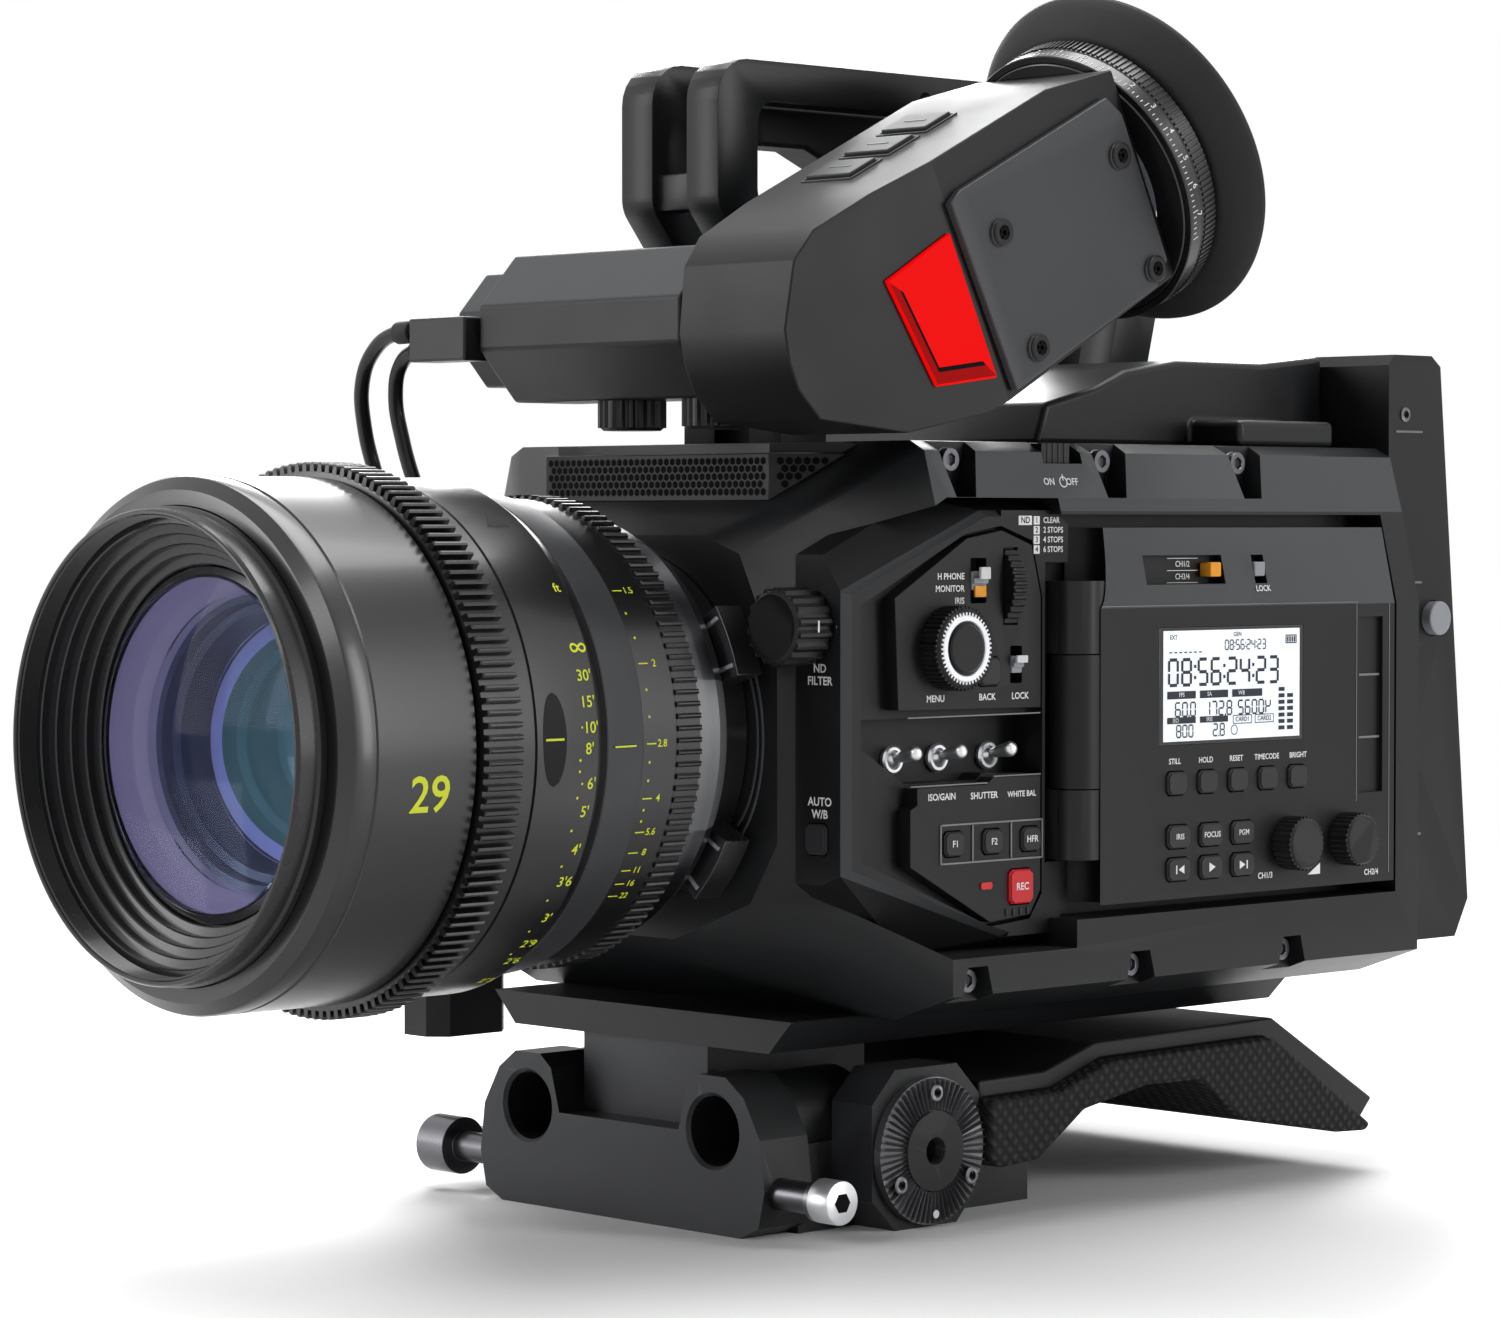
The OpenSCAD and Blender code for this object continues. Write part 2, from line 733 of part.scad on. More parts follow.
// A notch for a screw in the side of the shell, opening upwards or downwards
module notch(y, edge_z, floor_x, up) {
    translate([0, y, edge_z]) slab_x(floor_x, half_w - floor_x + cut)
        polygon([[-notch_w / 2, up * cut], [notch_w / 2, up * cut], [notch_low_w / 2, -up * notch_h],
            [-notch_low_w / 2, -up * notch_h]]);
}

// The slot that the thumb wheel turns in
module wheel_slot() {
    wheel_x = module_x + panel_proud + wheel_proud - wheel_r;
    translate([wheel_x, 0, wheel_z]) {
        bar_y(wheel_y - wheel_w / 2 - slip, wheel_w + 2 * slip, wheel_r + slip);
        bar_y(wheel_y - wheel_w / 2 - 2 * wheel_axle_l, wheel_w + 4 * wheel_axle_l, wheel_axle_r + run_fit);
    }
}

// The cast shell of the body, hollow inside, with the glands for the viewfinder's leads
module chassis() {
    bay_back_y = door_y + door_l + bay_gap;
    color("#2b2d30") at_flange() {
        difference() {
            union() {
                shell_form();
                translate([0, 0, cap_h - cap_low]) linear_extrude(cap_low - cap_top) cap_plan(0);
                slab_y(belly_y, belly_l) polygon([[-belly_top_x, -sole_h + slice],
                    [belly_top_x, -sole_h + slice], [belly_low_x, -sole_h - belly_h],
                    [-belly_low_x, -sole_h - belly_h]]);
            }
            bar_y(nose_y - cut, throat_l + cut, throat_r);
            translate([-hollow_half_w, nose_y + throat_l - slice, -hollow_h / 2])
                cube([2 * hollow_half_w, shell_y - nose_y - throat_l - hollow_wall, hollow_h]);
            slab_x(module_in_x, half_w) polygon(module_points(module_base_shares));
            module_form();
            wheel_slot();
            slab_x(door_x - door_t - bay_gap, half_w) polygon([[module_y + module_l - cut, bay_low],
                [bay_back_y, bay_low], [bay_back_y, bay_top], [module_y + module_l - cut, bay_top]]);
            for (y = notch_top_places) notch(y, cap_h, notch_top_x, 1);
            for (y = notch_low_places) notch(y, -sole_h, notch_low_x, -1);
            translate([power_in_x, power_y - power_w / 2 - slip, cap_h - power_h])
                cube([half_w, power_w + power_travel + 2 * slip, 2 * power_h]);
        }
        for (route = [cable_a, cable_b]) gland(route[len(route) - 1]);
        hinge_knuckles();
    }
}

// A gland on the flare where a lead enters the body
module gland(p) {
    translate([p[0], 0, p[2]]) bar_y(p[1], gland_l, gland_r);
}

// The bent band of the microphone grille, seated on the flare
module mic_grille() {
    color("#17181a") at_flange() difference() {
        translate([0, 0, cap_h - cap_low]) linear_extrude(cap_low - grille_top) difference() {
            cap_plan(grille_t);
            cap_plan(0);
        }
        shell_form();
    }
}

// The raised rear deck with its side ports
module top_deck() {
    color("#2f3134") at_flange() {
        slab_x(-deck_half_w, 2 * deck_half_w)
            polygon(shifted(scaled(deck_shares, shell_y - deck_front_y, deck_h), deck_front_y, cap_h));
        translate([deck_half_w, port_y, cap_h]) cube([port_w, port_l, port_h]);
    }
}

// The outer form of the control module, which the body's recess follows
module module_form() {
    hull() {
        slab_x(module_in_x, module_base_x - module_in_x) polygon(module_points(module_base_shares));
        slab_x(module_x - module_trim - slice, slice) polygon(module_points(module_rim_shares));
    }
    hull() {
        slab_x(module_x - module_trim - slice, slice) polygon(module_points(module_rim_shares));
        slab_x(module_x - slice, slice) polygon(module_points(module_trim_shares));
    }
    slab_x(bay_floor_x, module_x - bay_floor_x) polygon(module_points(legend_shares));
    slab_x(bay_floor_x, module_x - bay_floor_x) polygon(module_points(foot_shares));
}

// The control module: front wall, rim, trim edge and pockets
module control_bezel() {
    color("#34363a") at_flange() difference() {
        module_form();
        slab_x(module_x - pocket_d, pocket_d + cut) polygon(module_points(pocket_shares));
        slab_x(module_x - toggle_d, toggle_d + cut) polygon(module_points(toggle_shares));
        for (q = toggle_places_shares) translate([0, module_y + q * module_l, toggle_z])
            bar_x(module_x - toggle_d - toggle_ball_r - 2 * slip, toggle_d, toggle_ball_r + run_fit);
        wheel_slot();
        translate([awb_x, 0, awb_z]) slab_y(module_y - cut, cut + well_depth)
            polygon(chamfered(awb_w + 2 * slip, awb_h + 2 * slip, key_chamfer));
        translate([nd_x, 0, nd_z]) bar_y(module_y - cut, cut + nd_stem_l + slip, nd_stem_r + run_fit);
    }
}

// The two panels that carry the wheel, the switches and the keys
module control_panel() {
    wheel_x = module_x + panel_proud + wheel_proud - wheel_r;
    color("#26282b") at_flange() difference() {
        union() {
            slab_x(module_x - pocket_d, panel_t) polygon(module_points(menu_plate_shares));
            slab_x(module_x - pocket_d, panel_t) polygon(module_points(key_plate_shares));
        }
        translate([0, menu_y, menu_z]) bar_x(module_x - pocket_d - cut, panel_t + 2 * cut, menu_stem_r + run_fit);
        key_bar(panel_x - well_depth, well_depth + cut, back_y, back_z, key_w + 2 * slip, key_h + 2 * slip,
            key_chamfer);
        key_bar(panel_x - well_depth, well_depth + cut, lock_y, lock_z, switch_w + 2 * slip, switch_slot_h, slip);
        key_bar(panel_x - well_depth, well_depth + cut, selector_y, selector_z, selector_w + 2 * slip,
            selector_slot_h, slip);
        wheel_slot();
        for (i = [0:2]) key_bar(panel_x - well_depth, well_depth + cut, fkey_y + i * fkey_pitch, fkey_z,
            fkey_w + 2 * slip, fkey_h + 2 * slip, key_chamfer);
        key_bar(panel_x - well_depth, well_depth + cut, rec_y, rec_z, rec_w + 2 * slip, rec_h + 2 * slip,
            key_chamfer);
    }
}

// A fluted knob standing along +Z, with a stem below it
module knob(r, h, teeth, tooth_h, stem_r, stem_l) {
    linear_extrude(h - tooth_h) polygon(toothed(teeth, r, tooth_h));
    translate([0, 0, h - tooth_h]) cylinder(h = tooth_h, r1 = r - tooth_h, r2 = r - 2 * tooth_h);
    translate([0, 0, -stem_l]) cylinder(h = stem_l + slice, r = stem_r);
}

// The filter knob on the module's front wall
module nd_knob() {
    color("#1c1d1f") at_flange() translate([nd_x, nd_front + nd_l, nd_z]) forward()
        knob(nd_r, nd_l, nd_grip_count, nd_r - nd_face_r, nd_stem_r, nd_stem_l);
}

// The round key on the module's front wall
module awb_button() {
    color("#2a2b2e") at_flange() translate([awb_x, 0, awb_z]) {
        slab_y(module_y - key_proud / 2, key_depth + key_proud / 2) polygon(chamfered(awb_w, awb_h, key_chamfer));
        slab_y(module_y - key_proud, key_proud)
            polygon(chamfered(awb_w - key_proud / 2, awb_h - key_proud / 2, key_chamfer));
    }
}

// A sliding switch with a raised rib, moved up and down
module slider(y, z, w, h) {
    key_bar(panel_x - well_depth + run_fit, well_depth - run_fit + slip, y, z, w, h, slip);
    key_bar(panel_x, key_proud, y, z, w, h / 3, slip);
}

// The slider for what the thumb wheel sets
module selector_switch() {
    color("#8a8d92") at_flange() slider(selector_y, selector_z, selector_w, selector_h);
}

// The slider that locks the panel
module lock_switch() {
    color("#8a8d92") at_flange() slider(lock_y, lock_z, switch_w, switch_h);
}

// The ribbed wheel half sunk in the panel
module thumb_wheel() {
    wheel_x = panel_x + wheel_proud - wheel_r;
    color("#1a1b1d") at_flange() translate([wheel_x, 0, wheel_z]) {
        translate([0, wheel_y + wheel_w / 2, 0]) forward() linear_extrude(wheel_w)
            polygon(toothed(wheel_teeth, wheel_r, wheel_tooth_h));
        bar_y(wheel_y - wheel_w / 2 - wheel_axle_l, wheel_w + 2 * wheel_axle_l, wheel_axle_r);
    }
}

// The dial that moves through the menu
module menu_wheel() {
    color("#232427") at_flange() translate([panel_x + run_fit, menu_y, menu_z]) rotate([0, 90, 0]) {
        difference() {
            knob(menu_r, menu_h, menu_teeth, menu_tooth_h, menu_stem_r, panel_t - slip);
            translate([0, 0, menu_h - menu_dish]) difference() {
                cylinder(h = menu_dish + cut, r = menu_cap_r + slip);
                translate([0, 0, -cut]) cylinder(h = menu_dish + 2 * cut, r = menu_cap_r - slip);
            }
        }
    }
}

// The key beside the dial
module back_button() {
    color("#2c2e31") at_flange() key_cap(panel_x, back_y, back_z, key_w, key_h);
}

// A bat-handled toggle in its socket
module toggle(q) {
    at_flange() translate([module_x - toggle_d, module_y + q * module_l, toggle_z]) {
        rotate([0, 90 - toggle_rise, 0]) rotate_extrude() polygon(concat(
            [for (i = [0:toggle_arc]) toggle_ball_r * [cos(90 * i / toggle_arc - 90), sin(90 * i / toggle_arc - 90)]],
            [for (i = [1:toggle_arc / 2]) toggle_ball_r * [cos(90 * i / toggle_arc), sin(90 * i / toggle_arc)]],
            [[toggle_neck_r, toggle_ball_r]],
            [for (i = [0:toggle_arc]) [toggle_tip_r * cos(90 * i / toggle_arc), toggle_l + toggle_tip_r * sin(90 * i / toggle_arc)]]));
    }
}
module toggle_iso() { color("#c4c6ca") toggle(toggle_places_shares[0]); }
module toggle_shutter() { color("#c4c6ca") toggle(toggle_places_shares[1]); }
module toggle_wb() { color("#c4c6ca") toggle(toggle_places_shares[2]); }

// The three assignable keys and the record key
module f_key(i) {
    color("#2c2e31") at_flange() key_cap(panel_x, fkey_y + i * fkey_pitch, fkey_z, fkey_w, fkey_h);
}
module f1_key() { f_key(0); }
module f2_key() { f_key(1); }
module hfr_key() { f_key(2); }
module rec_key() {
    color("#c2121c") at_flange() key_cap(panel_x, rec_y, rec_z, rec_w, rec_h);
}

// The power slider in the upper edge of the shell
module power_switch() {
    color("#1b1c1e") at_flange() translate([power_in_x + slip, power_y - power_w / 2, cap_h - power_h + run_fit]) {
        cube([power_t, power_w, power_h - slip]);
        for (i = [1:power_ribs]) translate([power_t - slice, i * power_w / (power_ribs + 1) - slip, 0])
            cube([slip + slice, 2 * slip, power_h - slip]);
    }
}

// Points of the door's cross-section in X and Z
function door_points() = [[door_x - door_t, door_low], [door_x, door_low], [door_x, door_fold],
    [door_x - door_lean, door_top], [door_x - door_t, door_top]];

// A pocket for a slider in the leaning band of the door
module band_pocket(y, l) {
    translate([band_x, y, slide_z - slide_h]) cube([door_t, l, 2 * slide_h]);
}

// The monitor door with its knuckle, wells and pockets
module monitor_door() {
    color("#2f3134") at_flange() {
        difference() {
            translate([0, door_y + door_l, 0]) forward() linear_extrude(door_l) polygon(door_points());
            translate([hinge_x, hinge_y, -half_w]) cylinder(h = body_w, r = hinge_r + slip);
            translate([door_x - window_t, window_y - window_w / 2, window_z - window_h / 2])
                cube([window_t + cut, window_w, window_h]);
            for (i = [0:status_count - 1]) key_bar(door_x - well_depth, well_depth + cut,
                status_y + i * status_pitch, status_z, status_w + 2 * slip, status_h + 2 * slip, key_chamfer);
            for (i = [0:2], k = [0:1]) key_bar(door_x - well_depth, well_depth + cut,
                transport_y + i * transport_pitch_y, transport_z - k * transport_pitch_z,
                transport_w + 2 * slip, transport_h + 2 * slip, key_chamfer);
            for (i = [0:1]) translate([0, gain_y + i * gain_pitch, gain_z])
                bar_x(door_x - gain_stem_l - slip, gain_stem_l + slip + cut, gain_stem_r + run_fit);
            band_pocket(slider_window_y, slider_window_l);
            band_pocket(door_lock_y - slide_w / 2 - slip, slide_w + 2 * slip);
            translate([door_x - pull_d, pull_y, pull_low]) cube([door_t, pull_w, pull_top - pull_low]);
        }
        difference() {
            union() {
                translate([hinge_x, hinge_y, knuckle_low]) cylinder(h = knuckle_top - knuckle_low, r = hinge_r);
                translate([hinge_x - hinge_r + 2 * slip, hinge_y, knuckle_low])
                    cube([2 * hinge_r - 2 * slip, 2 * hinge_r, knuckle_top - knuckle_low]);
            }
            translate([hinge_x, hinge_y, knuckle_low - cut])
                cylinder(h = knuckle_top - knuckle_low + 2 * cut, r = hinge_pin_r + run_fit);
        }
    }
}

// The window over the status display
module door_window() {
    color("#e8edf0") at_flange() translate([door_x - window_t, window_y - window_w / 2, window_z - window_h / 2])
        cube([window_t, window_w, window_h]);
}

// The knuckles and the pin that stay on the body
module hinge_knuckles() {
    for (k = [[hinge_low, knuckle_low - slip], [knuckle_top + slip, hinge_top]]) {
        translate([hinge_x, hinge_y, k[0]]) cylinder(h = k[1] - k[0], r = hinge_r);
        translate([bay_floor_x - slice, bay_front_y, k[0]])
            cube([hinge_x - bay_floor_x + slice, hinge_y - bay_front_y, k[1] - k[0]]);
    }
    translate([hinge_x, hinge_y, hinge_low]) cylinder(h = hinge_top - hinge_low, r = hinge_pin_r);
}

// The sliders in the door's leaning band
module band_slider(y) {
    translate([band_x + run_fit, y - slide_w / 2, slide_z - slide_h / 2]) cube([slide_t, slide_w, slide_h]);
}
module channel_switch() {
    color("#d08020") at_flange() band_slider(channel_y);
}
module door_lock_switch() {
    color("#8a8d92") at_flange() band_slider(door_lock_y);
}

// The row of display keys and the block of transport keys
module status_keys() {
    color("#2c2e31") at_flange() for (i = [0:status_count - 1])
        key_cap(door_x, status_y + i * status_pitch, status_z, status_w, status_h);
}
module transport_keys() {
    color("#2c2e31") at_flange() for (i = [0:2], k = [0:1])
        key_cap(door_x, transport_y + i * transport_pitch_y, transport_z - k * transport_pitch_z, transport_w,
            transport_h);
}

// The two sound level knobs
module gain_knob(i) {
    color("#1c1d1f") at_flange() translate([door_x + run_fit, gain_y + i * gain_pitch, gain_z])
        rotate([0, 90, 0]) knob(gain_r, gain_h, gain_teeth, gain_tooth_h, gain_stem_r, gain_stem_l);
}
module gain_knob_a() { gain_knob(0); }
module gain_knob_b() { gain_knob(1); }

// The battery plate with its raised mount, vents and the bore for the release
module battery_plate() {
    lean = atan2(0.37 * battery_d, 1.51 * battery_top);
    color("#26282b") at_flange() difference() {
        union() {
            translate([0, shell_y, 0]) slab_x(-battery_half_w, 2 * battery_half_w)
                polygon(scaled(battery_shares, battery_d, battery_top));
            translate([0, shell_y + vlock_share * battery_d, vlock_z_share * battery_top]) rotate([lean, 0, 0])
                slab_y(-vlock_t, 2 * vlock_t) polygon([[-vlock_w / 2, vlock_h / 2], [vlock_w / 2, vlock_h / 2],
                    [vlock_low_w / 2, -vlock_h / 2], [-vlock_low_w / 2, -vlock_h / 2]]);
        }
        for (i = [0:vent_count - 1]) translate([battery_half_w - vent_d, shell_y + vent_l / 2, vent_low + i * vent_pitch])
            cube([vent_d + cut, vent_l, vent_h]);
        translate([0, release_y, release_z]) bar_x(battery_half_w - well_depth, well_depth + cut, release_r + slip);
    }
}

// The round key that frees the battery
module battery_release() {
    color("#8a8d92") at_flange() translate([0, release_y, release_z])
        bar_x(battery_half_w - key_depth, key_depth + release_t, release_r);
}

// Socket head screw standing along +X
module case_screw(x, y, z) {
    translate([x, y, z]) difference() {
        bar_x(0, screw_t, screw_r);
        translate([screw_t - screw_hex_t, 0, 0]) rotate([0, 90, 0]) cylinder(h = screw_hex_t + cut, r = screw_hex_r, $fn = 6);
    }
}

// The screws in the notches of the shell
module case_screws() {
    color("#9a9da2") at_flange() {
        for (y = notch_top_places) case_screw(notch_top_x, y, cap_h - notch_h / 3);
        for (y = notch_low_places) case_screw(notch_low_x, y, low_screw_z);
    }
}

// Outline of a side plate of the handle, with its foot on the raised deck
function handle_foot_z() = cap_h + deck_flat * deck_h;
function handle_points() = concat(
    shifted(scaled(handle_shares, handle_l, handle_h - cap_h), handle_y, cap_h),
    [[handle_foot_y[0], handle_foot_z()], [handle_foot_y[1], handle_foot_z()]],
    shifted(scaled(handle_inner_shares, handle_l, handle_h - cap_h), handle_y, cap_h));

// The two side plates of the handle with the bars that join them
module top_handle() {
    color("#2b2d30") at_flange() {
        for (x = [-handle_w / 2, handle_w / 2 - handle_t]) slab_x(x, handle_t) difference() {
            polygon(handle_points());
            for (y = handle_holes_y) translate([y, handle_h - handle_hole_r * 2]) circle(r = handle_hole_r / 2);
        }
        for (q = handle_bar_shares)
            translate([-handle_w / 2 + handle_t - slice, handle_y + q[0] * handle_l, cap_h + q[1] * (handle_h - cap_h)])
                cube([handle_w - 2 * handle_t + 2 * slice, handle_bar_l, handle_bar_l]);
    }
}

// The rubber filling between the side plates
module handle_grip() {
    color("#17181a") at_flange() slab_x(-handle_w / 2 + handle_t, handle_w - 2 * handle_t)
        polygon(shifted(scaled(grip_shares, handle_l, handle_h - cap_h), handle_y, cap_h));
}

// Section of the viewfinder's arm
module arm_section(k) {
    translate([arm_y + arm_d / 2, arm_mid_z]) polygon(shifted(scaled(arm_shares, k * arm_d, k * arm_h), -k * arm_d / 2, 0));
}

// The rail on the handle with the block for the leads
module vf_rail() {
    color("#1f2023") at_flange() {
        slab_x(rail_x, arm_x - slip - rail_x) arm_section(rail_share);
        translate([rail_x, rail_bar_y, arm_mid_z - rail_bar_h / 2])
            cube([rail_bar_l, handle_y - rail_bar_y, rail_bar_h]);
        translate([plug_x, plug_y, plug_z - plug_h / 2]) cube([plug_l, plug_d, plug_h]);
    }
}

// The arm that slides on the rail, with the pivot of the viewfinder
module vf_arm() {
    color("#2b2d30") at_flange() {
        difference() {
            slab_x(arm_x, vf_x - arm_x - seat) arm_section(1);
            translate([arm_x - cut, rail_bar_y - run_fit, arm_mid_z - rail_bar_h / 2 - run_fit])
                cube([rail_x + rail_bar_l + slip - arm_x + cut, arm_d, rail_bar_h + 2 * run_fit]);
            for (x = knob_x) translate([x, knob_y, arm_mid_z - arm_h / 2 - cut])
                cylinder(h = knob_stem_l + cut, r = knob_stem_r + run_fit);
        }
        translate([0, pivot_y, vf_axis_h]) bar_x(vf_x - 2 * seat, pivot_l, pivot_r);
    }
}

// The knobs under the arm
module vf_knob(x) {
    at_flange() translate([x, knob_y, arm_mid_z - arm_h / 2 - run_fit]) rotate([180, 0, 0])
        knob(knob_r, knob_h, knob_teeth, knob_tooth_h, knob_stem_r, knob_stem_l - slip);
}
module vf_knob_a() { color("#1c1d1f") vf_knob(knob_x[0]); }
module vf_knob_b() { color("#1c1d1f") vf_knob(knob_x[1]); }

// Places shapes drawn about the viewfinder's pivot, in its tilted frame
module at_pivot() {
    at_flange() translate([0, pivot_y, vf_axis_h]) rotate([vf_tilt, 0, 0]) children();
}
module vf_side() {
    polygon(scaled(vf_side_shares, vf_l, vf_l));
}
module vf_plan(grow) {
    translate([0, 0, -vf_l]) linear_extrude(2 * vf_l)
        polygon([for (q = vf_plan_shares) [vf_x + q[0] * vf_w + (q[0] > 0 ? grow : 0), q[1] * vf_l]]);
}

// The housing of the viewfinder
module vf_housing() {
    color("#26282b") at_pivot() difference() {
        intersection() {
            slab_x(vf_x, vf_w) vf_side();
            vf_plan(0);
        }
        bar_x(vf_x - cut, pivot_l + cut + slip, pivot_r + run_fit);
        translate([vf_axis_x, 0, vf_axis_z]) bar_y(vf_l - eye_bore_l, eye_bore_l + cut, eye_bore_r);
        for (y = vf_key_y) translate([vf_key_x - vf_key_w / 2 - slip, y - vf_key_l / 2 - slip, vf_top_share * vf_l - key_depth - cut])
            cube([vf_key_w + 2 * slip, vf_key_l + 2 * slip, key_depth + 3 * cut]);
    }
}

// The side plate with its four screws
module vf_side_plate() {
    color("#303236") at_pivot() {
        slab_x(vf_x + vf_w, vf_plate_t) polygon(scaled(vf_plate_shares, vf_l, vf_l));
        for (y = vf_screw_y, z = vf_screw_z) translate([vf_x + vf_w + vf_plate_t - slice, y, z])
            bar_x(0, vf_screw_t, vf_screw_r);
    }
}

// The signal lamp on the slanted side
module vf_tally() {
    color("#b01818") at_pivot() difference() {
        intersection() {
            slab_x(tally_low_x, vf_w) polygon(scaled(tally_shares, vf_l, vf_l));
            vf_plan(tally_t);
        }
        vf_plan(0);
    }
}

// The three keys on top of the viewfinder
module vf_buttons() {
    color("#1c1d1f") at_pivot() for (y = vf_key_y)
        translate([vf_key_x - vf_key_w / 2, y - vf_key_l / 2, vf_top_share * vf_l - key_depth])
            cube([vf_key_w, vf_key_l, key_depth + vf_key_t]);
}

// Turns a revolved profile [radius, station] onto the eyepiece's axis
module eye_turn() {
    at_pivot() translate([vf_axis_x, 0, vf_axis_z]) rotate([-90, 0, 0]) rotate_extrude() children();
}

// The fixed tube of the eyepiece with its lens seat
module vf_eyepiece() {
    color("#1f2023") eye_turn() polygon([[cup_bore_r, vf_l], [barrel_r, vf_l],
        [barrel_r, diopter_y + diopter_l + 2 * slip], [cup_neck_r, diopter_y + diopter_l + 2 * slip],
        [cup_neck_r, cup_y + cup_l / 2], [cup_bore_r, cup_y + cup_l / 2]]);
}

// The lens seen through the eyepiece
module vf_glass() {
    color("#3a4150") eye_turn() polygon([[0, vf_l], [cup_bore_r, vf_l], [cup_bore_r, vf_l + eye_glass_t], [0, vf_l + eye_glass_t]]);
}

// The ring that sets the eyepiece to the eye
module vf_diopter() {
    color("#1b1c1e") eye_turn() polygon([[barrel_r + run_fit, vf_l + slip], [diopter_d / 2, vf_l + slip],
        [diopter_d / 2, diopter_y + diopter_l - slip], [diopter_d / 2 - slip, diopter_y + diopter_l],
        [barrel_r + run_fit, diopter_y + diopter_l]]);
}

// The rubber cup
module vf_eyecup() {
    color("#141517") eye_turn() polygon([[cup_neck_r, cup_y + slip], [diopter_d / 2, cup_y + slip],
        [eyecup_d / 2 - cup_wall, cup_y + cup_l / 2], [eyecup_d / 2, cup_y + cup_l],
        [eyecup_d / 2 - cup_wall, cup_y + cup_l + cup_wall], [cup_neck_r, cup_y + cup_l]]);
}

// Frame of a swept lead: the direction at point i and two directions across it
function unit(v) = v / norm(v);
function along(p, i) = unit(p[min(i + 1, len(p) - 1)] - p[max(i - 1, 0)]);
function across(t) = unit(cross(t, [1, 1, 0]));
function ring_points(p, i, r) = let (t = along(p, i), u = across(t), v = cross(t, u))
    [for (k = [0:cable_sides - 1]) p[i] + r * (cos(360 * k / cable_sides) * u + sin(360 * k / cable_sides) * v)];

// A round lead swept along a route
module lead(p) {
    n = cable_sides;
    last = (len(p) - 1) * n;
    polyhedron(points = [for (i = [0:len(p) - 1]) each ring_points(p, i, cable_r)],
        faces = concat([[for (k = [0:n - 1]) k]], [[for (k = [n - 1:-1:0]) last + k]],
            [for (i = [0:len(p) - 2], k = [0:n - 1]) [i * n + k, (i + 1) * n + k, (i + 1) * n + (k + 1) % n]],
            [for (i = [0:len(p) - 2], k = [0:n - 1]) [i * n + k, (i + 1) * n + (k + 1) % n, i * n + (k + 1) % n]]));
}

// The two leads of the viewfinder
module vf_cable() {
    color("#151618") at_flange() {
        lead(cable_a);
        lead(cable_b);
    }
}

// The side grip on the far side
module hand_grip() {
    color("#1c1d1f") at_flange() {
        translate([grip_x, 0, grip_low]) linear_extrude(grip_top - grip_low)
            translate([grip_w / 2, grip_y + grip_l / 2]) polygon(chamfered(grip_w, grip_l, grip_w / 4));
        translate([0, grip_plate_y, grip_plate_z])
            bar_x(grip_x + grip_w - slice, -half_w - grip_x - grip_w + slice, grip_plate_r);
    }
}

// The base: rod clamps, tray, riser and the block under the rosette
module base_block() {
    color("#34363a") at_flange() difference() {
        union() {
            slab_y(clamp_front_y, clamp_l) polygon(both_sides(scaled(clamp_shares, base_half_w, base_low)));
            translate([-tray_half_w, clamp_front_y + clamp_l - slice, -base_low]) cube([2 * tray_half_w, tray_l, tray_h]);
            translate([-riser_half_w, riser_y, -base_low + tray_h - slice])
                cube([2 * riser_half_w, riser_l, base_low - tray_h + slice - sole_h - belly_h]);
            for (x = [-rod_pitch / 2, rod_pitch / 2]) translate([x, 0, -rod_drop])
                bar_y(clamp_front_y + clamp_l - slice, bore_l - clamp_l + slice, rod_boss_r);
            translate([0, rosette_y, -base_low]) slab_x(rosette_block_in_x - slice, rosette_x - rosette_t - rosette_block_in_x + slice)
                translate([0, rosette_block_h / 2]) polygon(chamfered(rosette_block_l, rosette_block_h, rosette_block_chamfer));
        }
        for (x = [-rod_pitch / 2, rod_pitch / 2]) translate([x, 0, -rod_drop]) {
            bar_y(clamp_front_y - cut, bore_l + 2 * cut, rod_r);
            translate([0, clamp_front_y + mouth_chamfer, 0]) rotate([90, 0, 0])
                cylinder(h = mouth_chamfer + slice, r1 = rod_r, r2 = rod_r + mouth_chamfer + slice);
        }
        translate([0, shaft_y, shaft_z]) bar_x(-base_half_w - cut, 2 * base_half_w + 2 * cut, shaft_r + run_fit);
        translate([0, socket_y, -base_low - cut]) cylinder(h = socket_l + cut, r = socket_r);
        translate([0, rosette_y, rosette_z]) bar_x(rosette_x - rosette_t - rosette_bore_l, rosette_bore_l + cut, rosette_bore_r);
    }
}

// The shaft that closes the rod clamps, with its lever
module clamp_lever() {
    color("#3a3c40") at_flange() translate([0, shaft_y, shaft_z]) {
        difference() {
            union() {
                bar_x(lever_x, shaft_x - lever_x, shaft_r);
                bar_x(shaft_x - shaft_head_l, shaft_head_l, shaft_head_r);
            }
            translate([shaft_x - shaft_head_l / 2, 0, 0]) rotate([0, 90, 0])
                cylinder(h = shaft_head_l, r = shaft_head_r / 2, $fn = 6);
        }
        bar_x(lever_x - lever_hub_l, lever_hub_l + slice, lever_hub_r);
        translate([lever_x - lever_hub_l, 0, -lever_t / 2]) cube([lever_w, lever_l, lever_t]);
    }
}

